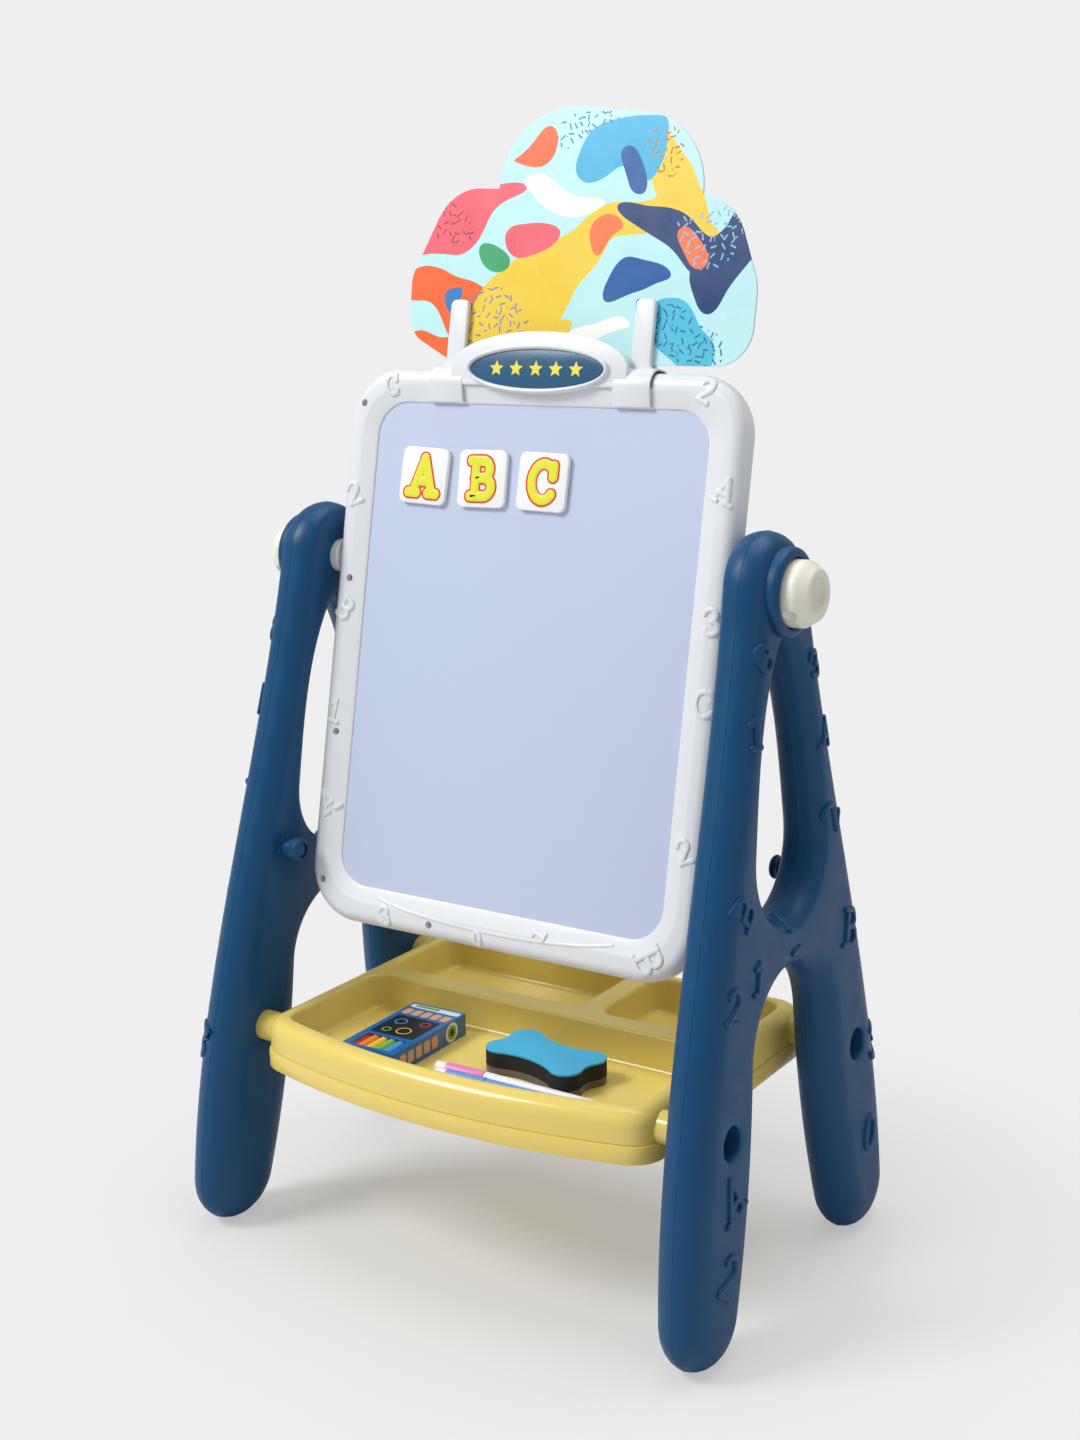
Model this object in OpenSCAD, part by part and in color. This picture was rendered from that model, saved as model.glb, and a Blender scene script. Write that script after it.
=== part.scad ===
// Children's standing easel: a two-sided board tilts between two moulded side frames that a tray joins.
// Millimetres. +Z is up, the whiteboard faces -Y, +X is the right-hand side of someone facing it.
// The origin is on the floor, midway between the four feet.

/* [Stance] */
// Height of the board's axle above the floor
axle_h = 544; // [530:1:560]
// Clear width between the inner faces of the two side frames
frame_gap = 372; // [366:1:384]
// Angle that the top of the board leans back from upright, in degrees
board_lean = 11.3; // [8:0.1:13]

/* [Side frames] */
// Radius of the rounded head of a side frame
head_r = 43; // [41:1:48]
// Thickness of a side frame at the axle
head_t = 35; // [31:1:39]
// Thickness of a side frame at the floor
foot_t = 43; // [39:1:48]
// How much farther out the inner face is at the floor than at the axle
frame_splay = 14.6; // [10:0.2:18]
// Distance from the axle to the middle of a foot, front or rear
foot_y = 129; // [122:1:136]
// Radius of the rounded end of a foot
foot_r = 39.5; // [36:0.5:43]
// How much of the foot's round end is flat on the floor, as a depth
foot_flat = 1.5; // [1:0.1:3]
// Outward lean of a leg's outer edge just under the head, in degrees
leg_lean_top = 11; // [9:0.5:13]
// Outward lean of a leg's outer edge just above the foot, in degrees
leg_lean_foot = 3; // [1:0.5:6]
// Rounding of the head's and the window's edges that face the board
edge_in = 12; // [9:1:13]
// Rounding of the head's and the window's edges that face outwards
edge_out = 16; // [13:1:16]
// Rounding of a foot's edges that face the board
foot_edge_in = 26; // [22:1:30]
// Rounding of a foot's edges that face outwards
foot_edge_out = 24; // [20:1:27]
// Distance from the axle down to the top of the window
window_drop = 37; // [35:1:40]
// Radius of the window's pointed top
window_tip_r = 10; // [9:1:12]
// Height of the window's lowest point above the floor
window_base = 302; // [296:1:310]
// Radius of the window's round base
window_r = 50; // [46:1:52]
// Height of the arch between the legs
arch_h = 259; // [250:1:264]
// Radius of the top of the arch
arch_r = 57; // [54:1:60]

/* [Pivot] */
// Radius of the white spindle that turns in the frame's head
spindle_r = 13.5; // [12:0.1:14]
// Clearance between the spindle and its hole
spindle_clear = 0.1; // [0.05:0.01:0.1]
// Radius of the raised ring around the knob
ring_r = 33; // [31:0.5:34]
// How far the raised ring stands out of the frame
ring_h = 7; // [5:0.5:8]
// Depth of the seat inside the raised ring
ring_seat = 5; // [4:0.5:6]
// Radius of the knob
knob_r = 24.5; // [23:0.5:25.5]
// Length of the knob
knob_l = 22.5; // [20:0.5:28]
// Radius of the hollow in the knob's end
knob_dish_r = 15; // [12:0.5:15]
// Gap between the knob and the ring around it
knob_clear = 1.2; // [0.8:0.1:1.5]
// Radius of the knob's bolt
bolt_r = 3; // [2.5:0.1:3.5]

/* [Tilt stops] */
// Distance of a stop from the axle line: the left one stands in front, the right one behind
stop_y = 78; // [75:1:82]
// Height of the stops above the floor
stop_z = 312; // [306:1:318]
// Radius of a stop's stem
stop_r = 8.6; // [8:0.1:9.5]
// Radius of a stop's head
stop_head_r = 9.6; // [9:0.1:10.5]
// How far a stop reaches from the frame's inner face
stop_l = 18; // [16:0.5:20]

/* [Board] */
// Gap between the board's edge and each side frame
side_gap = 6; // [5:0.5:9]
// Distance from the axle up to the top edge of the board
board_up = 153; // [145:1:160]
// Distance from the axle down to the bottom edge of the board
board_down = 297; // [290:1:304]
// Thickness of the board over both frame shells
board_t = 26; // [24:1:28]
// Radius of the board's outer corners
board_corner = 46; // [40:1:50]
// Width of the frame's side rails
rail_w = 29; // [27:0.5:32]
// Width of the frame's top rail
rail_top = 27; // [26:0.5:30]
// Width of the frame's bottom rail
rail_bottom = 31; // [29:0.5:34]
// Wall thickness of the frame shells
shell_wall = 2.6; // [2:0.1:3]
// Thickness of each writing panel
panel_t = 0.6; // [0.5:0.1:1.5]
// Depth of a writing face below the crest of the rails
panel_recess = 5; // [4:0.5:6]
// How far the rails overlap the edge of a panel
panel_lap = 6; // [4:0.5:7]

/* [Header] */
// Half the length of the clip-on header
header_half = 100.5; // [96:0.5:106]
// Wall thickness of the header's saddle
header_wall = 2.6; // [2:0.1:3]
// Clearance between the header and the rail that it sits on
header_clear = 0.4; // [0.3:0.1:0.8]
// Width of each clip of the header
clip_w = 32; // [28:1:36]
// Width of each prong that holds the card
prong_w = 17; // [14:1:19]
// Height of the prongs above the saddle
prong_h = 52; // [46:1:58]
// Half the width of the header's arch
arch_half = 80; // [74:1:82]
// Height of the header's arch
arch_rise = 27; // [24:1:32]
// Half the width of the nameplate
plate_half = 61; // [54:1:62]
// Half the height of the nameplate
plate_rise = 15; // [13:0.5:16]
// Width of the rim around the nameplate
plate_rim = 4; // [3:0.5:5]
// Thickness of the picture card
card_t = 2; // [1.5:0.1:2.5]
// Play of the card in its slot, on each side
card_clear = 0.4; // [0.3:0.1:0.6]

/* [Letter tiles] */
// Side of a letter tile
tile_w = 45; // [40:1:48]
// Thickness of a letter tile
tile_t = 4; // [3.5:0.1:5]
// Distance between the middles of two neighbouring tiles
tile_pitch = 56; // [52:1:58]
// Radius of the magnet in the back of a tile
magnet_r = 8; // [6:0.5:10]

/* [Tray] */
// Gap between the tray's skirt and each side frame
tray_gap = 13; // [10:0.5:16]
// Distance from the axle line to the tray's rear edge
tray_rear = 135; // [130:1:140]
// Distance from the axle line to the middle of the tray's front edge
tray_front = 158; // [152:1:164]
// Radius of the bowed front edge
tray_bow_r = 600; // [500:10:800]
// Height of the tray's rim above the floor
tray_top = 183; // [178:1:188]
// Height of the tray's skirt
skirt_h = 14; // [12:1:16]
// Depth of the tray from its rim to the foot of its skirt
tray_h = 40; // [38:1:44]
// Width of the rounded rim
rim_w = 18; // [16:1:20]
// Depth of the compartments
pocket_depth = 28; // [24:1:30]
// Wall thickness of the tray
tray_wall = 2.5; // [2:0.1:3]
// Radius of the four pegs that hold the tray
peg_r = 12.5; // [11:0.5:13]
// Clearance between a peg and its hole
peg_clear = 0.4; // [0.3:0.1:0.6]
// Distance of the pegs from the axle line
peg_y = 107; // [104:1:109]
// Height of the pegs above the floor
peg_z = 166; // [163:1:168]
// How far a peg reaches into the side frame
peg_depth = 25; // [20:1:28]

/* [Eraser and chalk] */
// Length of the eraser
eraser_l = 94; // [88:1:95]
// Width of the eraser
eraser_w = 54; // [48:1:55]
// Thickness of the eraser's felt
felt_t = 6; // [4:0.5:7]
// Thickness of the eraser's foam body
foam_t = 12; // [10:0.5:13]
// Thickness of the eraser's cover sheet
cover_t = 2; // [1.5:0.1:3]
// Radius of a stick of chalk
chalk_r = 4; // [3.5:0.1:4.1]
// Length of a stick of chalk
chalk_l = 98; // [90:1:102]
// Thickness of the carton's board
carton_wall = 0.8; // [0.6:0.1:1]

/* [Markers] */
// Length of a marker with its cap on
marker_l = 154; // [140:1:158]
// Radius of a marker's cap
cap_r = 5; // [4.8:0.1:5.2]
// Length of a marker's cap with its end plug
cap_l = 46; // [42:1:50]

/* [Hidden] */
MARKERS = ["pink", "blue", "yellow"];
TILES = ["a", "b", "c"];
SIDES = ["left", "right"];
$fn = 48;
cut = 1; // how far a cutting solid runs past the face that it cuts

FRAME_BLUE = [0.13, 0.29, 0.43];
SHELL_WHITE = [0.93, 0.94, 0.94];
KNOB_CREAM = [0.93, 0.92, 0.85];
TRAY_YELLOW = [0.93, 0.86, 0.50];
STEEL = [0.75, 0.76, 0.78];
MARKER_COLOURS = [[0.95, 0.45, 0.75], [0.36, 0.60, 0.88], [0.96, 0.86, 0.25]];
MARKER_BARRELS = [[0.95, 0.95, 0.95], [0.36, 0.60, 0.88], [0.96, 0.86, 0.25]];

// ---- Outlines -------------------------------------------------------------------------------
// A point of an outline is [across, up, angle of the normal that points out of the material].

// Points along an arc; side is 1 where the material fills the arc and -1 where it surrounds it.
function arc(across, up, r, from, to, steps, side = 1) = [
    for (i = [0 : steps])
        let (a = from + (to - from) * i / steps)
        [across + side * r * cos(a), up + side * r * sin(a), a]
];

// The inner points of a smooth bend from p to q that keeps the direction it has at both.
// turn is 1 where the outline runs clockwise round the material and -1 where it runs the other way.
function bend(p, q, steps, turn = 1) =
    let (
        reach = norm([q[0] - p[0], q[1] - p[1]]) / 3,
        p_dir = p[2] - 90 * turn,
        q_dir = q[2] - 90 * turn,
        a = [p[0], p[1]],
        b = a + reach * [cos(p_dir), sin(p_dir)],
        d = [q[0], q[1]],
        c = d - reach * [cos(q_dir), sin(q_dir)]
    ) [
        for (i = [1 : steps - 1])
            let (
                t = i / steps,
                s = 1 - t,
                at = s * s * s * a + 3 * s * s * t * b + 3 * s * t * t * c + t * t * t * d,
                along = s * s * (b - a) + 2 * s * t * (c - b) + t * t * (d - c)
            )
            [at[0], at[1], atan2(along[1], along[0]) + 90 * turn]
    ];

function last(list) = list[len(list) - 1];

// A rounded rectangle, anticlockwise, with the same number of points whatever its size.
function rounded(x0, x1, y0, y1, r, steps = 7) = concat(
    arc(x1 - r, y0 + r, r, -90, 0, steps),
    arc(x1 - r, y1 - r, r, 0, 90, steps),
    arc(x0 + r, y1 - r, r, 90, 180, steps),
    arc(x0 + r, y0 + r, r, 180, 270, steps)
);

// Closed solid through rings that all have the same number of points; the end rings are convex.
module loft(rings) {
    n = len(rings[0]);
    top = len(rings) - 1;
    sides = [
        for (k = [0 : top - 1], i = [0 : n - 1])
            let (j = (i + 1) % n)
            each [
                [k * n + i, (k + 1) * n + i, (k + 1) * n + j],
                [k * n + i, (k + 1) * n + j, k * n + j]
            ]
    ];
    start = [for (i = [0 : n - 1]) i];
    end = [for (i = [n - 1 : -1 : 0]) top * n + i];
    polyhedron(points = [for (ring = rings) each ring], faces = concat(sides, [start, end]));
}

// ---- Side frames ----------------------------------------------------------------------------
inner_x = frame_gap / 2;
foot_z = foot_r - foot_flat;
foot_inside = -162.5; // normal where the foot's arc ends on the inner side of the leg
arch_start = -176.4;  // normal where the arch's arc starts
tip_end = -145;       // normal where the window's pointed top ends
bowl_start = -172;    // normal where the window's round base starts

// How many steps each stretch gets: [head, leg, foot outside, foot inside, inside of leg, arch, tip, side, bowl].
// The first three add up to two more than the rest, so that the faces can be filled in pairs of points.
SKIN_STEPS = [8, 18, 9, 6, 6, 5, 3, 5, 8];

function at_height(z, head, foot) = foot + (head - foot) * z / axle_h;
function frame_t(z) = at_height(z, head_t, foot_t);
function inner_face(z) = inner_x + at_height(z, 0, frame_splay);

// Half of the outer edge, from the top of the head round the rear foot to the top of the arch.
function half_outline(n) =
    let (
        head = arc(0, axle_h, head_r, 90, leg_lean_top, n[0]),
        foot = arc(foot_y, foot_z, foot_r, leg_lean_foot, -90, n[2]),
        foot_in = arc(foot_y, foot_z, foot_r, -90, foot_inside, n[3]),
        arch = arc(0, arch_h - arch_r, arch_r, arch_start, -90, n[5], -1)
    )
    concat(
        head,
        bend(last(head), foot[0], n[1]),
        foot,
        [for (i = [1 : n[3]]) foot_in[i]],
        bend(last(foot_in), arch[0], n[4]),
        arch
    );

// Half of the window's edge, from its pointed top down to its lowest point.
function half_window(n) =
    let (
        tip = arc(0, axle_h - window_drop - window_tip_r, window_tip_r, -90, tip_end, n[6], -1),
        bowl = arc(0, window_base + window_r, window_r, bowl_start, -270, n[8], -1)
    )
    concat(tip, bend(last(tip), bowl[0], n[7], -1), bowl);

function mirrored(p) = [-p[0], p[1], 180 - p[2]];

// One closed edge, made of a half and its mirror image.
function whole(half) = concat(half, [for (i = [len(half) - 2 : -1 : 1]) mirrored(half[i])]);

// Moves an edge point into the material and to its place across the frame's thickness.
// level runs from -90 on the inner face to 90 on the outer face.
function frame_point(p, level, edge) =
    let (
        depth = edge * (1 - cos(level)),
        y = p[0] - depth * cos(p[2]),
        z = p[1] - depth * sin(p[2]),
        half = frame_t(z) / 2
    )
    [inner_face(z) + half + half * sin(level), y, z];

function outer_edge(p, level) =
    level < 0 ? at_height(p[1], edge_in, foot_edge_in) : at_height(p[1], edge_out, foot_edge_out);

// The right-hand frame's rounded body.
module frame_body() {
    half = half_outline(SKIN_STEPS);
    outer = whole(half);
    window = whole(half_window(SKIN_STEPS));
    n_out = len(outer);
    n_win = len(window);
    n_ring = n_out + n_win;
    levels = [-90, -62, -36, -12, 12, 36, 62, 90];
    points = [
        for (a = levels) each concat(
            [for (p = outer) frame_point(p, a, outer_edge(p, a))],
            [for (p = window) frame_point(p, a, edge_in)]
        )
    ];
    outer_walls = [
        for (k = [0 : len(levels) - 2], i = [0 : n_out - 1])
            let (a = k * n_ring + i, b = k * n_ring + (i + 1) % n_out)
            each [[a, b + n_ring, a + n_ring], [a, b, b + n_ring]]
    ];
    window_walls = [
        for (k = [0 : len(levels) - 2], i = [0 : n_win - 1])
            let (a = k * n_ring + n_out + i, b = k * n_ring + n_out + (i + 1) % n_win)
            each [[a, a + n_ring, b + n_ring], [a, b + n_ring, b]]
    ];
    // The faces are strips between the outer edge and, in turn, the window and the arch.
    foot = SKIN_STEPS[0] + SKIN_STEPS[1] + SKIN_STEPS[2];
    n_half = len(half) - 1;
    w_half = n_win / 2;
    inside = concat([0], [for (i = [0 : w_half]) n_out + i], [for (i = [n_half : -1 : foot]) i]);
    strip = [
        for (i = [0 : foot - 1])
            each [[i, inside[i + 1], i + 1], [i, inside[i], inside[i + 1]]]
    ];
    rear_face = [for (t = strip) if (t[0] != t[1] && t[1] != t[2] && t[0] != t[2]) t];
    function opposite(i) = i < n_out ? (n_out - i) % n_out : n_out + (n_win - (i - n_out)) % n_win;
    front_face = [for (t = rear_face) [opposite(t[0]), opposite(t[2]), opposite(t[1])]];
    inner_face = concat(rear_face, front_face);
    shift = (len(levels) - 1) * n_ring;
    outer_face = [for (t = inner_face) [t[0] + shift, t[2] + shift, t[1] + shift]];
    polyhedron(
        points = points,
        faces = concat(outer_walls, window_walls, inner_face, outer_face),
        convexity = 6
    );
}

ring_face = inner_x + head_t + ring_h;
seat_x = ring_face - ring_seat;
spindle_hole_r = spindle_r + spindle_clear;
peg_hole_r = peg_r + peg_clear;
stop_root_r = 4;   // radius of a stop's root in the frame
stop_root_l = 12;  // length of that root
stop_x = inner_face(stop_z) - 0.2; // where a stop's shoulder meets the frame

// A cylinder along +X, from x0 to x1, at a height and a distance from the axle line.
module rod_x(x0, x1, y, z, r) {
    translate([x0, y, z]) rotate([0, 90, 0]) cylinder(h = x1 - x0, r = r);
}

// Right-hand side frame with its through holes.
module frame_right() {
    outer_x = inner_face(0) + foot_t + cut;
    start_x = inner_face(axle_h + head_r) - cut;
    difference() {
        union() {
            frame_body();
            rod_x(inner_x + head_t / 2, ring_face, 0, axle_h, ring_r);
        }
        rod_x(start_x, ring_face + cut, 0, axle_h, spindle_hole_r);
        rod_x(seat_x, ring_face + cut, 0, axle_h, knob_r + knob_clear);
        for (y = [-peg_y, peg_y]) rod_x(inner_x, outer_x, y, peg_z, peg_hole_r);
        rod_x(inner_x, stop_x + stop_root_l, stop_y, stop_z, stop_root_r);
        translate([inner_x, -2 * foot_y, -2 * foot_flat - cut]) cube([outer_x - inner_x, 4 * foot_y, 2 * foot_flat + cut]);
    }
}

// The stop pressed into the inner face of the right-hand frame.
module stop_right() {
    head_l = 8;
    rod_x(stop_x - stop_l, stop_x - stop_l + head_l, stop_y, stop_z, stop_head_r);
    rod_x(stop_x - stop_l + head_l, stop_x, stop_y, stop_z, stop_r);
    rod_x(stop_x, stop_x + stop_root_l, stop_y, stop_z, stop_root_r);
}

module on_side(side) {
    if (side == "right") children();
    else mirror([1, 0, 0]) children();
}

// Both sides use the same moulding, turned half round on the left.
module turned(side) rotate([0, 0, side == "right" ? 0 : 180]) children();
module side_frame(side) color(FRAME_BLUE) turned(side) frame_right();
module tilt_stop(side) color(FRAME_BLUE) turned(side) stop_right();

// ---- Pivots and knobs -----------------------------------------------------------------------
board_w = frame_gap - 2 * side_gap;
board_half = board_w / 2;
half_t = board_t / 2;
neck_r = 7;                                // spindle where it passes the board's side wall
block_w = 2 * (half_t - shell_wall) - 0.4; // square end of the spindle, which the shells hold from turning
block_x = board_half - 10;                 // outer end of that square, clear of the shells' rounding
block_l = 10;
nut_across = 10;
nut_t = 5;
hex_r = nut_across / 2 / cos(30);
bolt_fit = 0.1;
knob_gap = 0.5;                            // between the knob and the seat in the frame
spindle_end = seat_x - 1;
knob_x = seat_x + knob_gap;
bolt_head_l = 5;
dish_depth = 6;

module hex_x(x0, x1, r) translate([x0, 0, axle_h]) rotate([0, 90, 0]) cylinder(h = x1 - x0, r = r, $fn = 6);

module spindle(side) color(SHELL_WHITE) on_side(side) difference() {
    union() {
        rod_x(board_half, spindle_end, 0, axle_h, spindle_r);
        rod_x(block_x, board_half, 0, axle_h, neck_r);
        translate([block_x - block_l, 0, axle_h]) rotate([-board_lean, 0, 0])
            translate([0, -block_w / 2, -block_w / 2]) cube([block_l, block_w, block_w]);
    }
    rod_x(block_x - block_l - cut, spindle_end + cut, 0, axle_h, bolt_r + bolt_fit);
    hex_x(block_x - block_l - cut, block_x - block_l + nut_t, hex_r);
}

module spindle_nut(side) color(STEEL) on_side(side) difference() {
    hex_x(block_x - block_l, block_x - block_l + nut_t, hex_r);
    rod_x(block_x - block_l - cut, block_x - block_l + nut_t + cut, 0, axle_h, bolt_r + bolt_fit);
}

bolt_head_x = knob_x + knob_l - dish_depth - bolt_head_l - 3;

// The knob's bolt: a hexagon head moulded into the knob and a shank that reaches the nut.
module bolt_right() {
    rod_x(block_x - block_l - 2, bolt_head_x, 0, axle_h, bolt_r);
    hex_x(bolt_head_x, bolt_head_x + bolt_head_l, hex_r);
}

// Knob: straight near the frame, rounded in to a smaller end that has a hollow.
module knob(side) color(KNOB_CREAM) on_side(side) difference() {
    end_r = 18;
    round_l = 11;
    side_l = knob_l - round_l;
    lip = 1.5;
    translate([knob_x, 0, axle_h]) rotate([0, 90, 0]) rotate_extrude()
        polygon(concat(
            [[0, 0], [knob_r - 1, 0], [knob_r, 1], [knob_r, side_l]],
            [for (a = [15 : 15 : 75]) [end_r + (knob_r - end_r) * cos(a), side_l + (round_l - lip) * sin(a)]],
            [for (a = [0 : 30 : 90]) [end_r - lip + lip * cos(a), knob_l - lip + lip * sin(a)]],
            [for (a = [90 : -30 : 0]) [knob_dish_r + lip - lip * sin(a), knob_l - lip + lip * cos(90 - a)]],
            [[knob_dish_r, knob_l - dish_depth], [0, knob_l - dish_depth]]
        ));
    bolt_right();
}

module knob_bolt(side) color(STEEL) on_side(side) bolt_right();

// ---- Board ----------------------------------------------------------------------------------
// Shapes of the board are drawn upright about the axle, with the whiteboard at -Y, then leant back.
module on_board() translate([0, 0, axle_h]) rotate([-board_lean, 0, 0]) children();

window_corner = 27;
panel_y = half_t - panel_recess;
panel_gap = 0.3;
lip_t = 1.5;
bevel_w = 13;
rim_round = 10;
rib_t = 2;
screw_inset = 15;
screw_head_r = 2.8;
screw_r = 1.5;
screw_seat = 4; // depth of a screw's head seat above the joint between the shells
// Heights of the side screws from the axle, and the place of the bottom one
side_screws = [124, -18, -144, -266];
bottom_screw_x = 55;
bottom_screw_z = 11 - board_down;

// An outline in the board's plane at depth y.
function upright(plan, y) = [for (i = [len(plan) - 1 : -1 : 0]) [plan[i][0], y, plan[i][1]]];

// A rounded rectangle round the panel's window, grown by d on every side, at depth y.
function window_ring(d, y) = upright(rounded(
    -board_half + rail_w - d, board_half - rail_w + d,
    -board_down + rail_bottom - d, board_up - rail_top + d, window_corner + d
), y);

// The board's outer edge, moved in by d, at depth y.
function edge_ring(d, y) =
    upright(rounded(-board_half + d, board_half - d, -board_down + d, board_up - d, board_corner - d), y);

// Rings round the board's rounded outer edge, or at a wall's depth under it.
function rounded_edge(wall, step) = [
    for (a = [0 : step : 90])
        let (r = rim_round - wall)
        edge_ring(wall + r * (1 - sin(a)), -half_t + wall + r * (1 - cos(a)))
];

module rod_y(y0, y1, x, z, r) translate([x, y1, z]) rotate([90, 0, 0]) cylinder(h = y1 - y0, r = r);

// Each place that a screw goes: on the left for this shell's own heads, on the right for its threads.
function screw_places(side) = concat(
    [for (z = side_screws) [side * (board_half - screw_inset), z]],
    [[side * bottom_screw_x, bottom_screw_z]]
);

// One shell of the board's frame; two of the same moulding face each other.
module board_shell() {
    difference() {
        union() {
            difference() {
                loft(concat(rounded_edge(0, 22.5), [edge_ring(0, 0)]));
                loft(concat(rounded_edge(shell_wall, 30), [edge_ring(shell_wall, cut)]));
            }
            difference() {
                loft([window_ring(panel_lap + panel_gap + rib_t, -half_t + shell_wall - 0.5), window_ring(panel_lap + panel_gap + rib_t, 0)]);
                loft([window_ring(panel_lap + panel_gap, -panel_y), window_ring(panel_lap + panel_gap, cut)]);
            }
            for (side = [-1, 1], p = screw_places(side)) rod_y(-half_t + shell_wall - 0.5, 0, p[0], p[1], screw_head_r + 2);
        }
        loft([window_ring(bevel_w + cut, -half_t - cut), window_ring(0, -panel_y - lip_t), window_ring(0, -panel_y + cut)]);
        for (p = screw_places(-1)) {
            rod_y(-half_t - cut, -screw_seat, p[0], p[1], screw_head_r + 0.3);
            rod_y(-screw_seat - cut, cut, p[0], p[1], screw_r + 0.2);
        }
        for (p = screw_places(1)) rod_y(-half_t + shell_wall + 1, cut, p[0], p[1], screw_r);
        translate([-board_half - cut, 0, 0]) rotate([0, 90, 0]) cylinder(h = board_w + 2 * cut, r = neck_r);
    }
}

module board_frame_front() color(SHELL_WHITE) on_board() board_shell();
module board_frame_rear() color(SHELL_WHITE) on_board() rotate([0, 0, 180]) board_shell();

module panel(y0, y1) loft([window_ring(panel_lap, y0), window_ring(panel_lap, y1)]);

module whiteboard_panel() color([0.80, 0.83, 0.94]) on_board() panel(-panel_y, -panel_y + panel_t);
module blackboard_panel() color([0.10, 0.12, 0.12]) on_board() panel(panel_y - panel_t, panel_y);
module core_board() color([0.85, 0.82, 0.74]) on_board() panel(-panel_y + panel_t, panel_y - panel_t);

// Half of the screws go in from the front on one side, and half from the rear on the other.
module board_screws() color(STEEL) on_board() for (turn = [0, 180]) rotate([0, 0, turn])
    for (p = screw_places(-1)) {
        rod_y(-screw_seat - 2, -screw_seat, p[0], p[1], screw_head_r);
        rod_y(-screw_seat, half_t - shell_wall - 2, p[0], p[1], screw_r);
    }

// ---- Header ---------------------------------------------------------------------------------
saddle_in = half_t + header_clear;
saddle_out = saddle_in + header_wall;
saddle_z = board_up + header_clear;
saddle_top = saddle_z + header_wall;
clip_z = board_up - rail_top + 1;
slot_half = card_t / 2 + card_clear;
card_z = saddle_top + 3.5;
prong_t = 4.5;
lip_depth = 4;
prong_x = header_half - clip_w / 2;
plate_t = 1;
plate_y = -saddle_out - 2;
plate_z = board_up;

function ellipse(a, b, steps = 48) = [for (i = [0 : steps - 1]) [a * cos(360 * i / steps), b * sin(360 * i / steps)]];

// An outline in the board's plane, drawn as [x, z], from depth y0 to y1.
module plate(y0, y1) translate([0, y1, 0]) rotate([90, 0, 0]) linear_extrude(y1 - y0) children();

module header_bracket() color(SHELL_WHITE) on_board() difference() {
    union() {
        translate([-header_half, -saddle_out, saddle_z - rim_round]) cube([2 * header_half, 2 * saddle_out, saddle_top - saddle_z + rim_round]);
        for (side = [-1, 1]) translate([side * prong_x - clip_w / 2, -saddle_out, clip_z]) cube([clip_w, 2 * saddle_out, saddle_top - clip_z]);
        for (turn = [0, 180]) rotate([0, 0, turn]) plate(-saddle_out, -saddle_out + lip_depth)
            translate([0, saddle_top - 1]) intersection() {
                polygon(ellipse(arch_half, arch_rise));
                translate([-arch_half, 0]) square([2 * arch_half, arch_rise]);
            }
        plate(plate_y, -saddle_in) translate([0, plate_z]) polygon(ellipse(plate_half + plate_rim, plate_rise + plate_rim));
        for (side = [-1, 1]) plate(-slot_half - prong_t, slot_half + prong_t) translate([side * prong_x, saddle_top - 1]) {
            translate([-prong_w / 2, 0]) square([prong_w, prong_h - 3]);
            translate([-prong_w / 2 + 4, 0]) square([prong_w - 8, prong_h + 1]);
            for (x = [-1, 1]) translate([x * (prong_w / 2 - 4), prong_h - 3]) circle(r = 4);
        }
    }
    translate([-header_half - cut, -saddle_in, -board_down]) cube([2 * header_half + 2 * cut, 2 * saddle_in, board_down + saddle_z]);
    translate([-board_w / 2, -slot_half, card_z - 0.05]) cube([board_w, 2 * slot_half, board_up]);
    plate(plate_y - cut, plate_y + plate_t + 0.5) translate([0, plate_z]) polygon(ellipse(plate_half + 0.2, plate_rise + 0.2));
}

module nameplate() color([0.11, 0.28, 0.36]) on_board()
    plate(plate_y + 0.5, plate_y + 0.5 + plate_t) translate([0, plate_z]) polygon(ellipse(plate_half, plate_rise));

// Lobes of the cloud-shaped card: [across, up from the card's lower edge, radius]
card_body = [[-110, 39.5, 26], [145, 28, 28], [-108, 62, 29], [-80, 96, 40], [114, 79, 47], [134, 51, 39], [-86, 15.5, 15.5]];
card_crown = [[0, 135.5, 60], [60, 126.5, 61]];

module lobes(list) hull() for (c = list) translate([c[0], c[1]]) circle(r = c[2], $fn = 64);

module picture_card() color([0.72, 0.92, 0.94]) on_board() plate(-card_t / 2, card_t / 2) translate([0, card_z]) {
    lobes(card_body);
    lobes(card_crown);
}

// ---- Letter tiles ---------------------------------------------------------------------------
tile_gap = 0.05; // between a tile's back and the panel
tile_x = -100;   // middle of the first tile
tile_z = 68;
magnet_t = 1.5;

module tile_magnet(i) color([0.2, 0.2, 0.2]) on_board()
    rod_y(-panel_y - tile_gap - magnet_t, -panel_y - tile_gap, tile_x + i * tile_pitch, tile_z, magnet_r);

module letter_tile(i) color([0.97, 0.97, 0.97]) on_board() difference() {
    half = tile_w / 2;
    plate(-panel_y - tile_gap - tile_t, -panel_y - tile_gap) translate([tile_x + i * tile_pitch, tile_z])
        polygon([for (p = rounded(-half, half, -half, half, 6)) [p[0], p[1]]]);
    rod_y(-panel_y - tile_gap - magnet_t, -panel_y + cut, tile_x + i * tile_pitch, tile_z, magnet_r);
}

// ---- Tray -----------------------------------------------------------------------------------
tray_half = inner_face(peg_z) - tray_gap;
tray_corner = 28;
rear_corner = 25;
skirt_step = 1.5;
rim_round_r = 9;
peg_end = inner_face(peg_z) + peg_depth;
tray_foot = tray_top - tray_h;
tray_floor = tray_top - pocket_depth;
pocket_slope = 5;     // how far a compartment's walls lean in on the way down
front_wall_y = 2;     // rear edge of the front compartment
rear_wall_y = 24;     // front edge of the rear compartments
rib_x = [25, 46];     // sides of the rib between the rear compartments

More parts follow.
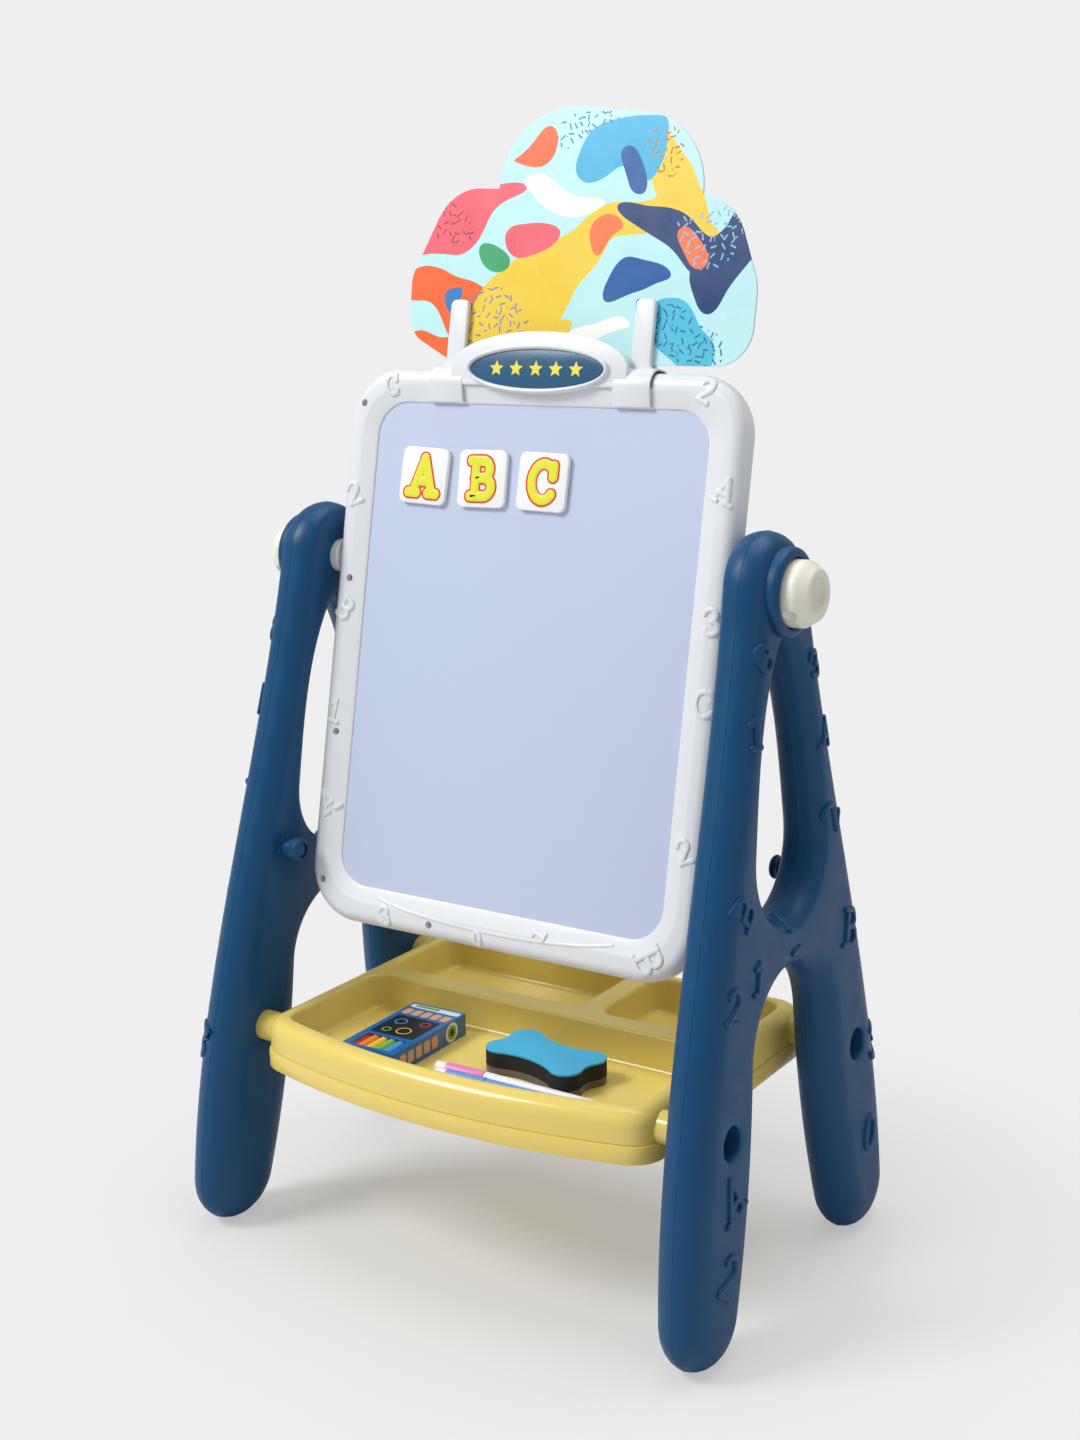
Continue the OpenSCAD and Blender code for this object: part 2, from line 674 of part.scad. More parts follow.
// Plan of the tray moved in by d: two rear corners, two front corners and the bowed front between them.
function tray_plan(d) =
    let (
        corner_x = tray_half - tray_corner,
        bow_y = tray_bow_r - tray_front,
        spread = asin(corner_x / (tray_bow_r - tray_corner)),
        corner_y = bow_y - (tray_bow_r - tray_corner) * cos(spread)
    )
    concat(
        arc(corner_x, corner_y, tray_corner - d, spread - 90, 0, 6),
        arc(tray_half - rear_corner, tray_rear - rear_corner, rear_corner - d, 0, 90, 6),
        arc(rear_corner - tray_half, tray_rear - rear_corner, rear_corner - d, 90, 180, 6),
        arc(-corner_x, corner_y, tray_corner - d, 180, 270 - spread, 6),
        [for (i = [1 : 9]) arc(0, bow_y, tray_bow_r - d, 270 - spread, 270 + spread, 10)[i]]
    );

// Plan of the front compartment moved in by d: the tray's bowed front and two rear corners.
function front_plan(d) =
    let (
        r = 16,
        side_x = tray_half - rim_w,
        bow_y = tray_bow_r - tray_front,
        bow_r = tray_bow_r - rim_w,
        corner_x = side_x - r,
        spread = asin(corner_x / (bow_r - r)),
        corner_y = bow_y - (bow_r - r) * cos(spread)
    )
    concat(
        arc(corner_x, corner_y, r - d, spread - 90, 0, 5),
        arc(side_x - r, front_wall_y - r, r - d, 0, 90, 5),
        arc(r - side_x, front_wall_y - r, r - d, 90, 180, 5),
        arc(-corner_x, corner_y, r - d, 180, 270 - spread, 5),
        [for (i = [1 : 9]) arc(0, bow_y, bow_r - d, 270 - spread, 270 + spread, 10)[i]]
    );

function rear_plan(x0, x1, d) = rounded(x0 + d, x1 - d, rear_wall_y + d, tray_rear - rim_w - d, 14 - d, 5);

function lifted(plan, z) = [for (p = plan) [p[0], p[1], z]];

// A compartment's hollow, or with a wall the solid round it.
module pocket(shape, wall = 0) {
    top = tray_top + (wall > 0 ? -wall / 2 : cut);
    loft([lifted(shape(pocket_slope - wall), tray_floor - wall), lifted(shape(-wall), top)]);
}

module pockets(wall = 0) {
    pocket(function(d) front_plan(d), wall);
    pocket(function(d) rear_plan(rim_w - tray_half, rib_x[0], d), wall);
    pocket(function(d) rear_plan(rib_x[1], tray_half - rim_w, d), wall);
}

// The rounded rim over a straight side, with its top at z_top, moved in by d.
module rim_solid(d, z0, z_top) {
    r = rim_round_r - d;
    loft(concat(
        [lifted(tray_plan(skirt_step + d), z0)],
        [for (a = [0 : 22.5 : 90]) lifted(tray_plan(skirt_step + d + r * (1 - cos(a))), z_top - r * (1 - sin(a)))]
    ));
}

// Tray: a rounded rim, a skirt under it, three compartments and four pegs into the side frames.
module tray() color(TRAY_YELLOW) union() {
    difference() {
        union() {
            rim_solid(0, tray_foot + skirt_h - cut, tray_top);
            loft([lifted(tray_plan(0), tray_foot), lifted(tray_plan(0), tray_foot + skirt_h)]);
        }
        pockets();
        difference() {
            rim_solid(tray_wall, tray_foot - cut, tray_top - tray_wall);
            pockets(tray_wall);
        }
    }
    for (side = SIDES) on_side(side) for (y = [-peg_y, peg_y]) difference() {
        rod_x(tray_half - skirt_step - tray_wall, peg_end, y, peg_z, peg_r);
        rod_x(tray_half, peg_end + cut, y, peg_z, peg_r - tray_wall);
        translate([peg_end - peg_depth + 2, y - 1, peg_z - peg_r - cut]) cube([peg_depth, 2, 2 * peg_r + 2 * cut]);
    }
}

// ---- Eraser ---------------------------------------------------------------------------------
eraser_at = [44, -52.5];
eraser_turn = -10;
eraser_lobe = 16;

module eraser_layer(z, t) translate([eraser_at[0], eraser_at[1], tray_floor + z]) rotate([0, 0, eraser_turn]) linear_extrude(t) {
    for (x = [-1, 1], y = [-1, 1]) translate([x * (eraser_l / 2 - eraser_lobe), y * (eraser_w / 2 - eraser_lobe)]) circle(r = eraser_lobe);
    square([eraser_l - 24, eraser_w - 10], center = true);
    square([eraser_l - 5, eraser_w - 28], center = true);
}

module eraser_felt() color([0.45, 0.40, 0.36]) eraser_layer(0, felt_t);
module eraser_foam() color([0.12, 0.12, 0.13]) eraser_layer(felt_t, foam_t);
module eraser_cover() color([0.25, 0.68, 0.86]) eraser_layer(felt_t + foam_t, cover_t);

// ---- Chalk ----------------------------------------------------------------------------------
chalk_rows = 2;
chalk_columns = 6;
chalk_gap = 0.2;
chalk_pitch = 2 * chalk_r + chalk_gap;
carton_in = [chalk_columns * chalk_pitch + chalk_gap, chalk_l + 2, chalk_rows * chalk_pitch + chalk_gap];
carton_at = [-83, -68];
carton_turn = 1;
carton_window = [38, 24];

module in_carton() translate([carton_at[0], carton_at[1], tray_floor]) rotate([0, 0, carton_turn]) children();

// Carton with a cut-out over the front ends of the chalks.
module chalk_carton() color([0.10, 0.36, 0.65]) in_carton() difference() {
    size = carton_in + 2 * carton_wall * [1, 1, 1];
    translate([-size[0] / 2, -size[1] / 2, 0]) cube(size);
    translate([-carton_in[0] / 2, -carton_in[1] / 2, carton_wall]) cube(carton_in);
    translate([-carton_window[0] / 2, -carton_in[1] / 2 + 4, size[2] - 2 * carton_wall]) cube([carton_window[0], carton_window[1], 3 * carton_wall]);
}

module chalk_sticks() color([0.93, 0.55, 0.25]) in_carton()
    for (row = [0 : chalk_rows - 1], column = [0 : chalk_columns - 1])
        translate([
            (column - (chalk_columns - 1) / 2) * chalk_pitch,
            -chalk_l / 2,
            carton_wall + chalk_gap + chalk_r + row * chalk_pitch
        ]) rotate([-90, 0, 0]) cylinder(h = chalk_l, r = chalk_r);

// ---- Markers --------------------------------------------------------------------------------
// Each marker's place at its cap's end, and its turn on the tray
marker_at = [[-33.5, -91.7], [-26, -102.4], [-37, -113.2]];
marker_turn = [1.3, 1.8, 1.9];
cap_plug_l = 10;
nose_l = 24;        // how far the barrel's nose reaches into the cap
nose_r = cap_r - 1.4;
nose_fit = 0.1;
barrel_r = cap_r - 0.4;
tail_r = 2.8;
tail_plug_l = 4;
nib_l = 6;
nib_r = 1.2;

// Along a marker, z runs from the cap's closed end at 0 to the tail.
module along_marker(i) translate([marker_at[i][0], marker_at[i][1], tray_floor + cap_r])
    rotate([0, 0, marker_turn[i]]) rotate([0, 90, 0]) children();

module marker_barrel(i) color(MARKER_BARRELS[i]) along_marker(i) difference() {
    union() {
        translate([0, 0, cap_l - nose_l]) cylinder(h = nose_l, r = nose_r);
        translate([0, 0, cap_l]) cylinder(h = marker_l - tail_plug_l - cap_l, r1 = barrel_r, r2 = tail_r);
    }
    translate([0, 0, cap_l - nose_l - cut]) cylinder(h = 5 + cut, r = nib_r);
}

module marker_tail_plug(i) color(MARKER_COLOURS[i]) along_marker(i)
    translate([0, 0, marker_l - tail_plug_l]) cylinder(h = tail_plug_l, r1 = tail_r, r2 = tail_r - 1);

module marker_nib(i) color(MARKER_COLOURS[i]) along_marker(i)
    translate([0, 0, cap_l - nose_l - nib_l + 5]) {
        cylinder(h = nib_l, r = nib_r);
        translate([0, 0, -2]) cylinder(h = 2, r1 = 0.4, r2 = nib_r);
    }

module marker_cap(i) color(MARKER_COLOURS[i]) along_marker(i) difference() {
    translate([0, 0, cap_plug_l]) cylinder(h = cap_l - cap_plug_l, r = cap_r);
    translate([0, 0, cap_plug_l - cut]) cylinder(h = cap_l - cap_plug_l + 2 * cut, r = nose_r + nose_fit);
}

module marker_cap_plug(i) color([0.95, 0.95, 0.95]) along_marker(i) {
    translate([0, 0, 1]) cylinder(h = cap_plug_l - 1, r = cap_r - 0.5);
    cylinder(h = 1, r1 = cap_r - 1.5, r2 = cap_r - 0.5);
}

// ---- Nodes ----------------------------------------------------------------------------------
for (s = SIDES) {
    side_frame(s);
    tilt_stop(s);
    spindle(s);
    spindle_nut(s);
    knob(s);
    knob_bolt(s);
}
tray();
board_frame_front();
board_frame_rear();
whiteboard_panel();
blackboard_panel();
core_board();
board_screws();
header_bracket();
nameplate();
picture_card();
for (i = [0 : 2]) {
    letter_tile(i);
    tile_magnet(i);
    marker_barrel(i);
    marker_tail_plug(i);
    marker_nib(i);
    marker_cap(i);
    marker_cap_plug(i);
}
eraser_felt();
eraser_foam();
eraser_cover();
chalk_carton();
chalk_sticks();
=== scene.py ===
from collections import namedtuple
from math import acos, atan2, cos, degrees, hypot, pi, radians, sin, sqrt

import bmesh
import bpy
from mathutils import Matrix, Vector
from mathutils.bvhtree import BVHTree


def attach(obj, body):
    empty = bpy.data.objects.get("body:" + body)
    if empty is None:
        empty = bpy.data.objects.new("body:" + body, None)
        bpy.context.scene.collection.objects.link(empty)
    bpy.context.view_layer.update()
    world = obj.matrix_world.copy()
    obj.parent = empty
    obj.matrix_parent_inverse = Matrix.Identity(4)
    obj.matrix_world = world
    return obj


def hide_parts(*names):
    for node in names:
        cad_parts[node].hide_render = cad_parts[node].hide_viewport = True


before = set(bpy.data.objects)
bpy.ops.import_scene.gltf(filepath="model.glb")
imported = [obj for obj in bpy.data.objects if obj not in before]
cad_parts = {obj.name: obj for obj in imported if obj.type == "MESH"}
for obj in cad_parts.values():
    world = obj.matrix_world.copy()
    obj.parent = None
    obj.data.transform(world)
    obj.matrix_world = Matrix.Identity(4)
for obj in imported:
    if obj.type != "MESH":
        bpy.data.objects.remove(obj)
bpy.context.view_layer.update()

# Lengths are millimetres until a mesh is finished.
MM = 0.001
METRE = 1000.0

# Stance: the axle's height, and how far the board leans back
AXLE_H = 544.0
LEAN = radians(11.3)


# ---- Materials -------------------------------------------------------------------------------

Finish = namedtuple("Finish", "material slot")


def srgb(text, alpha=1.0):
    """A linear colour from an sRGB hex string."""
    values = [int(text[i:i + 2], 16) / 255 for i in (1, 3, 5)]
    linear = [v / 12.92 if v <= 0.04045 else ((v + 0.055) / 1.055) ** 2.4 for v in values]
    return (*linear, alpha)


def feed(node, sockets):
    """Sets inputs of a node: each of sockets is (input, a value or the output that it reads)."""
    for key, value in sockets:
        if isinstance(value, bpy.types.NodeSocket):
            node.id_data.links.new(value, node.inputs[key])
        else:
            node.inputs[key].default_value = value


def add_node(owner, kind, sockets=(), **settings):
    """Adds a node with its settings and inputs to a material or a world."""
    node = owner.node_tree.nodes.new(kind)
    for key, value in settings.items():
        setattr(node, key, value)
    feed(node, sockets)
    return node


# A Mix node's colour sockets by number, because several of its sockets share their names
MIX_LOW = 6
MIX_HIGH = 7
MIX_RESULT = 2


def mixed(material, factor, low, high):
    """A colour between low and high; each is a hex string or a socket."""
    low, high = (srgb(colour) if isinstance(colour, str) else colour for colour in (low, high))
    sockets = [("Factor", factor), (MIX_LOW, low), (MIX_HIGH, high)]
    return add_node(material, "ShaderNodeMix", sockets, data_type="RGBA").outputs[MIX_RESULT]


def own_place(material):
    """Where a point lies in its piece's own axes, in metres."""
    return add_node(material, "ShaderNodeTexCoord").outputs["Object"]


def maths(material, operation, *sockets):
    """The number that a maths operation gives."""
    return add_node(material, "ShaderNodeMath", sockets, operation=operation).outputs[0]


def vector(material, operation, *sockets):
    """The vector that a vector operation gives."""
    return add_node(material, "ShaderNodeVectorMath", sockets, operation=operation).outputs[0]


def distance(material, place):
    """How far a place is from the origin."""
    return add_node(material, "ShaderNodeVectorMath", [(0, place)], operation="LENGTH").outputs["Value"]


def noise(material, place, width, detail):
    """Noise with features that are width mm wide."""
    sockets = [("Vector", place), ("Scale", METRE / width), ("Detail", detail)]
    return add_node(material, "ShaderNodeTexNoise", sockets)


def finish(
    name, slot, colour, tint=None, rough=0.45, spread=0.06, grain=0.4, height=0.02, patch=25.0, extra=(),
):
    """A cloudy colour from colour to tint, worn roughness, and a bump of grain mm wide and height mm high.

    patch is the size in mm of the clouds in the colour and the wear, and extra holds further shader settings.
    """
    material = bpy.data.materials.new(name)
    material.use_nodes = True
    place = own_place(material)
    cloud = noise(material, place, patch, 3.0).outputs["Fac"]
    span = [("From Min", 0.3), ("From Max", 0.7), ("To Min", rough - spread), ("To Max", rough + spread)]
    worn = add_node(material, "ShaderNodeMapRange", [("Value", cloud)] + span)
    fine = noise(material, place, grain, 2.0).outputs["Fac"]
    bump = add_node(
        material, "ShaderNodeBump", [("Height", fine), ("Strength", 0.35), ("Distance", height * MM)],
    )
    feed(material.node_tree.nodes["Principled BSDF"], [
        ("Base Color", mixed(material, cloud, colour, tint or colour)),
        ("Roughness", worn.outputs["Result"]), ("Normal", bump.outputs["Normal"]), *extra,
    ])
    return Finish(material, slot)


# Blow-moulded polypropylene: satin, with a fine pebbled skin and soft scuffs.
BLUE = finish(
    "Blue polypropylene", "frame_blue", "#07456F", "#0A4975", rough=0.4, spread=0.07, grain=0.7, height=0.03,
    extra=[("Specular IOR Level", 0.28)],
)
# Injection-moulded ABS: smooth and slightly glossy, a little warmer where the wall is thick.
WHITE = finish("White ABS", "shell_white", "#E2E5E8", "#DEE1E5", rough=0.36, grain=0.6, height=0.015)
CREAM = finish("Cream ABS", "knob_cream", "#EDECDF", "#E6E4D4", rough=0.4, grain=0.6, height=0.02)
# Thin moulded polypropylene: glossy, and light that enters its edges comes out warmer.
YELLOW = finish(
    "Yellow polypropylene", "tray_yellow", "#ECD274", "#EACF6E", rough=0.2, spread=0.02, grain=0.9,
    height=0.012, patch=40.0,
    extra=[
        ("Subsurface Weight", 0.2), ("Subsurface Radius", (0.012, 0.008, 0.003)), ("Subsurface Scale", 1.0),
    ],
)
# Zinc-plated steel: bright metal with a soft blur.
STEEL = finish(
    "Zinc-plated steel", "steel", "#B9BBBE", "#A9ACB1", rough=0.34, grain=0.3, extra=[("Metallic", 1.0)],
)
# Stove enamel on sheet steel: a smooth face with a trace of orange peel, coarser here so that it shows.
ENAMEL = finish(
    "Whiteboard enamel", "whiteboard", "#C1CCE6", "#BECAE4", rough=0.38, spread=0.03, grain=4.0,
    height=0.006, patch=90.0, extra=[("Specular IOR Level", 0.9)],
)
# Matt enamel with a fine tooth for chalk: no highlight, and a cloud of old dust.
SLATE = finish(
    "Blackboard enamel", "blackboard", "#1F2423", "#2A302F", rough=0.75, grain=0.3, height=0.05, patch=60.0,
)
# Foamed polystyrene board: dull, with its beads showing.
CORE = finish("Foamed polystyrene", "core", "#E8E2D2", "#DED7C4", rough=0.8, grain=1.5, height=0.1)
# Moulded ABS, polished: deep colour under a clear highlight.
TEAL = finish("Teal ABS", "plate_teal", "#2C5F80", "#27587A", rough=0.28)
# Printed plastic laminate: glossy, with flat inks.
LAMINATE = finish(
    "White laminate", "tile_white", "#F5F6F5", "#F0F2F2", rough=0.26, extra=[("Coat Weight", 0.3)],
)
# Screen-printed ink: strong even colour, a little less shiny than what it lies on.
RED_INK = finish("Red ink", "tile_white", "#E0472E", "#D83F2A", rough=0.3)
YELLOW_INK = finish("Yellow ink", "tile_white", "#E9E636", "#E4E030", rough=0.45)
PLATE_INK = finish("Yellow plate ink", "plate_teal", "#F4E25A", "#EBD84E", rough=0.35)
# Sintered ferrite: charcoal, with a dry powdery face.
MAGNET = finish("Ferrite", "magnet", "#2B2A2A", "#343131", rough=0.7)
# Pressed wool felt: dull, with a loose nap that catches light at grazing angles.
FELT = finish(
    "Wool felt", "felt", "#6E6258", "#5C5148", rough=0.95, spread=0.03, grain=0.8, height=0.35, patch=4.0,
    extra=[("Sheen Weight", 0.4)],
)
# Cut EVA foam: closed cells that show as fine pits.
FOAM = finish("EVA foam", "foam", "#17181A", "#212326", rough=0.85, grain=0.6, height=0.12, patch=6.0)
# The same foam as a skinned sheet: smoother, and satin.
COVER = finish("Blue EVA sheet", "cover_blue", "#45B4DD", "#3EABD6", rough=0.62, grain=0.5, height=0.04)
# Injection-moulded polypropylene of thin tubes: clean colour and a soft waxy highlight.
PINK = finish("Pink polypropylene", "marker_pink", "#F287C4", "#EE7DBD", rough=0.32)
SKY = finish("Sky-blue polypropylene", "marker_blue", "#6E9FE6", "#6797E0", rough=0.32)
LEMON = finish("Lemon polypropylene", "marker_yellow", "#F2D23A", "#EDCB33", rough=0.32)
BARREL = finish("White polypropylene", "marker_white", "#F1F2F2", "#EBECEE", rough=0.35)
# Bonded polyester fibre, soaked with ink: dark and blotchy, with no shine.
NIB = finish("Polyester fibre", "nib", "#4A3A66", "#3E3056", rough=0.8, grain=0.3, height=0.1, patch=2.0)
# Coated carton board: printed inks under a thin varnish, which gives them all one soft gloss.
CARTON = finish("Blue carton", "carton", "#1C6BB4", "#195FA3", rough=0.36, extra=[("Coat Weight", 0.2)])
BLACK_INK = finish("Black carton ink", "carton", "#17191C", "#1D2024", rough=0.36)
PALE_INK = finish("Pale carton ink", "carton", "#DDEBF2", "#CFE2EE", rough=0.36)
TITLE_INK = finish("Tan carton ink", "carton", "#E0A57C", "#D6976C", rough=0.36)
GREEN_INK = finish("Green carton ink", "carton", "#79A83B", "#6E9C34", rough=0.36)
# Pressed chalk: powdery, with no shine.
CHALKS = [
    finish("Chalk " + colour, "chalk", colour, rough=0.95, spread=0.03, grain=0.5, height=0.08)
    for colour in ("#D9482C", "#E98A2E", "#F2C53A", "#7DB94A", "#4E9AD0", "#F2F0EA")
]


# ---- Outlines --------------------------------------------------------------------------------
# A point of an outline is (across, up, angle of the normal that points out of the material).

def arc(across, up, r, start, end, steps, side=1):
    """Points along an arc; side is 1 where the material fills it and -1 where it surrounds it."""
    angles = [start + (end - start) * i / steps for i in range(steps + 1)]
    return [(across + side * r * cos(radians(a)), up + side * r * sin(radians(a)), a) for a in angles]


def bend(p, q, steps, turn=1):
    """The inner points of a smooth bend from p to q that keeps the direction it has at both."""
    reach = hypot(q[0] - p[0], q[1] - p[1]) / 3
    p_dir = radians(p[2] - 90 * turn)
    q_dir = radians(q[2] - 90 * turn)
    a = Vector(p[:2])
    d = Vector(q[:2])
    b = a + reach * Vector((cos(p_dir), sin(p_dir)))
    c = d - reach * Vector((cos(q_dir), sin(q_dir)))
    points = []
    for i in range(1, steps):
        t = i / steps
        s = 1 - t
        spot = s ** 3 * a + 3 * s * s * t * b + 3 * s * t * t * c + t ** 3 * d
        along = s * s * (b - a) + 2 * s * t * (c - b) + t * t * (d - c)
        points.append((spot.x, spot.y, degrees(atan2(along.y, along.x)) + 90 * turn))
    return points


def rounded(x0, x1, y0, y1, r, steps=12):
    """A rounded rectangle, anticlockwise, with the same number of points whatever its size."""
    return (
        arc(x1 - r, y0 + r, r, -90, 0, steps) + arc(x1 - r, y1 - r, r, 0, 90, steps)
        + arc(x0 + r, y1 - r, r, 90, 180, steps) + arc(x0 + r, y0 + r, r, 180, 270, steps)
    )


def circle(across, up, r, steps=48):
    return arc(across, up, r, 0, 360, steps)[:-1]


def ellipse(a, b, steps=96):
    return [(a * cos(2 * pi * i / steps), b * sin(2 * pi * i / steps)) for i in range(steps)]


def quarter(count):
    """Pairs (1 - cos, 1 - sin) from 0 to 90 degrees, for the rings of a rounded edge."""
    return [(1 - cos(radians(90 * i / count)), 1 - sin(radians(90 * i / count))) for i in range(count + 1)]


# ---- Places ----------------------------------------------------------------------------------
# From a piece's own axes to the easel's, in metres

IN_PLACE = Matrix.Identity(4)
TURNED = Matrix.Rotation(pi, 4, "Z")
# A flat drawing stood up, with its height towards the front
STOOD_UP = Matrix.Rotation(radians(90), 4, "X")
ON_BOARD = Matrix.Translation((0, 0, AXLE_H * MM)) @ Matrix.Rotation(-LEAN, 4, "X")
UPRIGHT = ON_BOARD @ STOOD_UP
# A cross-section drawn as (y, z) and run along X
SECTION = Matrix(((0, 0, 1, 0), (1, 0, 0, 0), (0, 1, 0, 0), (0, 0, 0, 1)))

# The second of two like sides is the first one turned half round.
SIDES = (("left", TURNED), ("right", IN_PLACE))
FACES = (("front", IN_PLACE), ("rear", TURNED))


def at(x, y, z=0.0, turn=0.0):
    """A move in millimetres after a turn in degrees about Z."""
    return Matrix.Translation((x * MM, y * MM, z * MM)) @ Matrix.Rotation(radians(turn), 4, "Z")


def along_x(x, y, z, sign=1):
    """Lays a turned shape's axis along X."""
    return at(x, y, z) @ Matrix.Rotation(radians(90 * sign), 4, "Y")


# ---- Meshes ----------------------------------------------------------------------------------

# Points closer than this are one point, and edges sharper than this angle in degrees show as creases.
MERGE = 0.002
CREASE = 32


class Shape:
    """A mesh in millimetres, given its form by Blender's mesh operators."""

    def __init__(self):
        self.work = bmesh.new()

    def loop(self, points):
        """A closed loop of edges through the points."""
        verts = [self.work.verts.new(p) for p in points]
        return [self.work.edges.new(pair) for pair in zip(verts, verts[1:] + verts[:1])]

    def walls(self, loops, closed=False):
        """Joins each loop to the next, and with closed the last to the first."""
        for low, high in zip(loops, loops[1:] + (loops[:1] if closed else [])):
            bmesh.ops.bridge_loops(self.work, edges=low + high)

    def cap(self, *loops):
        """Fills the flat area between an outer loop and its holes."""
        bmesh.ops.triangle_fill(self.work, use_beauty=True, edges=[edge for loop in loops for edge in loop])

    def pull(self, verts, x=0, y=0, z=0):
        bmesh.ops.translate(self.work, verts=verts, vec=(x, y, z))

    def soften(self, edges, offset, segments):
        """Rounds edges over."""
        bmesh.ops.bevel(
            self.work, geom=edges, offset=offset, offset_type="OFFSET", segments=segments,
            profile=0.5, affect="EDGES", material=-1,
        )

    def add(self, mesh):
        """Takes in a mesh in millimetres."""
        self.work.from_mesh(mesh)
        bpy.data.meshes.remove(mesh)

    def join(self, other):
        """Takes in another shape."""
        mesh = bpy.data.meshes.new("part")
        other.work.to_mesh(mesh)
        other.work.free()
        self.add(mesh)

    def solid(self, name, place):
        """Puts the shape in its place, in metres, and makes it an object with its faces outwards."""
        work = self.work
        bmesh.ops.transform(work, verts=work.verts, matrix=place @ Matrix.Scale(MM, 4))
        bmesh.ops.remove_doubles(work, verts=work.verts, dist=MERGE * MM)
        bmesh.ops.recalc_face_normals(work, faces=work.faces)
        for face in work.faces:
            face.smooth = True
        mesh = bpy.data.meshes.new(name)
        work.to_mesh(mesh)
        work.free()
        piece = bpy.data.objects.new(name, mesh)
        bpy.context.scene.collection.objects.link(piece)
        return piece

    def build(self, name, look, body, place=IN_PLACE, sharp=CREASE, replaces=()):
        """Makes the finished piece, which rides on a body and may stand for CAD nodes."""
        piece = self.solid(name, place)
        piece.data.set_sharp_from_angle(angle=radians(sharp))
        piece.data.materials.append(look.material)
        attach(piece, body)
        if replaces:
            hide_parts(*replaces)
        return piece


def lathe(profile, steps=64, closed=False):
    """A turned shape: spins a profile of (radius, height) pairs round Z."""
    shape = Shape()
    verts = [shape.work.verts.new((r, 0, z)) for r, z in profile]
    edges = [shape.work.edges.new(pair) for pair in zip(verts, verts[1:] + (verts[:1] if closed else []))]
    bmesh.ops.spin(
        shape.work, geom=verts + edges, cent=(0, 0, 0), axis=(0, 0, 1), steps=steps, angle=2 * pi,
        use_merge=True,
    )
    return shape


def slab(outline, low, high, edge, segments=3):
    """A plate with rims rounded by edge: the outline lies in XY and the plate runs from z low to high."""
    shape = Shape()
    flat = shape.work.faces.new([shape.work.verts.new((p[0], p[1], low)) for p in outline])
    grown = bmesh.ops.extrude_face_region(shape.work, geom=[flat])["geom"]
    shape.pull([item for item in grown if isinstance(item, bmesh.types.BMVert)], z=high - low)
    if edge:
        rims = [e for e in shape.work.edges if abs(e.verts[0].co.z - e.verts[1].co.z) < 1e-6]
        shape.soften(rims, edge, segments)
    return shape


def combine(piece, others, operation):
    """Joins other objects to a piece, or cuts them out of it, and removes them."""
    for other in others:
        modifier = piece.modifiers.new(operation.lower(), "BOOLEAN")
        modifier.object = other
        modifier.operation = operation
        modifier.solver = "EXACT"
    graph = bpy.context.evaluated_depsgraph_get()
    mesh = bpy.data.meshes.new_from_object(piece.evaluated_get(graph))
    mesh.set_sharp_from_angle(angle=radians(CREASE))
    piece.modifiers.clear()
    old = piece.data
    piece.data = mesh
    bpy.data.meshes.remove(old)
    for other in others:
        bpy.data.objects.remove(other)


# ---- Raised and printed characters -----------------------------------------------------------

def bow(cx, cy, rx, ry, start, end, steps=12):
    """Points along part of an ellipse."""
    angles = [radians(start + (end - start) * i / steps) for i in range(steps + 1)]
    return [(cx + rx * cos(a), cy + ry * sin(a)) for a in angles]


# Strokes of each character in a cell one unit high
GLYPHS = {
    "A": [
        [(-0.3, -0.44), (0, 0.46), (0.3, -0.44)], [(-0.19, -0.14), (0.19, -0.14)],
        [(-0.44, -0.46), (-0.18, -0.46)], [(0.18, -0.46), (0.44, -0.46)],
    ],
    "B": [
        [(-0.2, -0.46), (-0.2, 0.46)],
        [(-0.34, 0.46), (0.04, 0.46)] + bow(0.04, 0.24, 0.2, 0.22, 90, -90) + [(-0.2, 0.02)],
        [(-0.34, -0.46), (0.06, -0.46)] + bow(0.06, -0.22, 0.25, 0.24, -90, 90) + [(-0.2, 0.02)],
    ],
    "C": [bow(0.04, 0, 0.35, 0.46, 42, 318, 24), [(0.32, 0.14), (0.32, 0.42)]],
    "1": [[(-0.18, 0.28), (0.02, 0.46), (0.02, -0.46)], [(-0.18, -0.46), (0.22, -0.46)]],
    "2": [bow(0, 0.2, 0.26, 0.26, 165, -30, 14) + [(-0.27, -0.46), (0.28, -0.46)]],
    "3": [bow(-0.02, 0.23, 0.24, 0.23, 160, -80, 14) + bow(-0.02, -0.22, 0.27, 0.24, 80, -160, 14)],
    "0": [bow(0, 0, 0.27, 0.46, 0, 360, 28)],
}

# Each stroke of a character lies this far over the last one, so that no two surfaces coincide.
LAYER = 0.06
CORNER = radians(35)


def runs(points):
    """The parts of a line between its sharp corners."""
    parts = [[points[0]]]
    for before, here, after in zip(points, points[1:], points[2:]):
        parts[-1].append(here)
        turn = (Vector(here) - Vector(before)).angle(Vector(after) - Vector(here), 0)
        if turn > CORNER:
            parts.append([here])
    parts[-1].append(points[-1])
    return parts


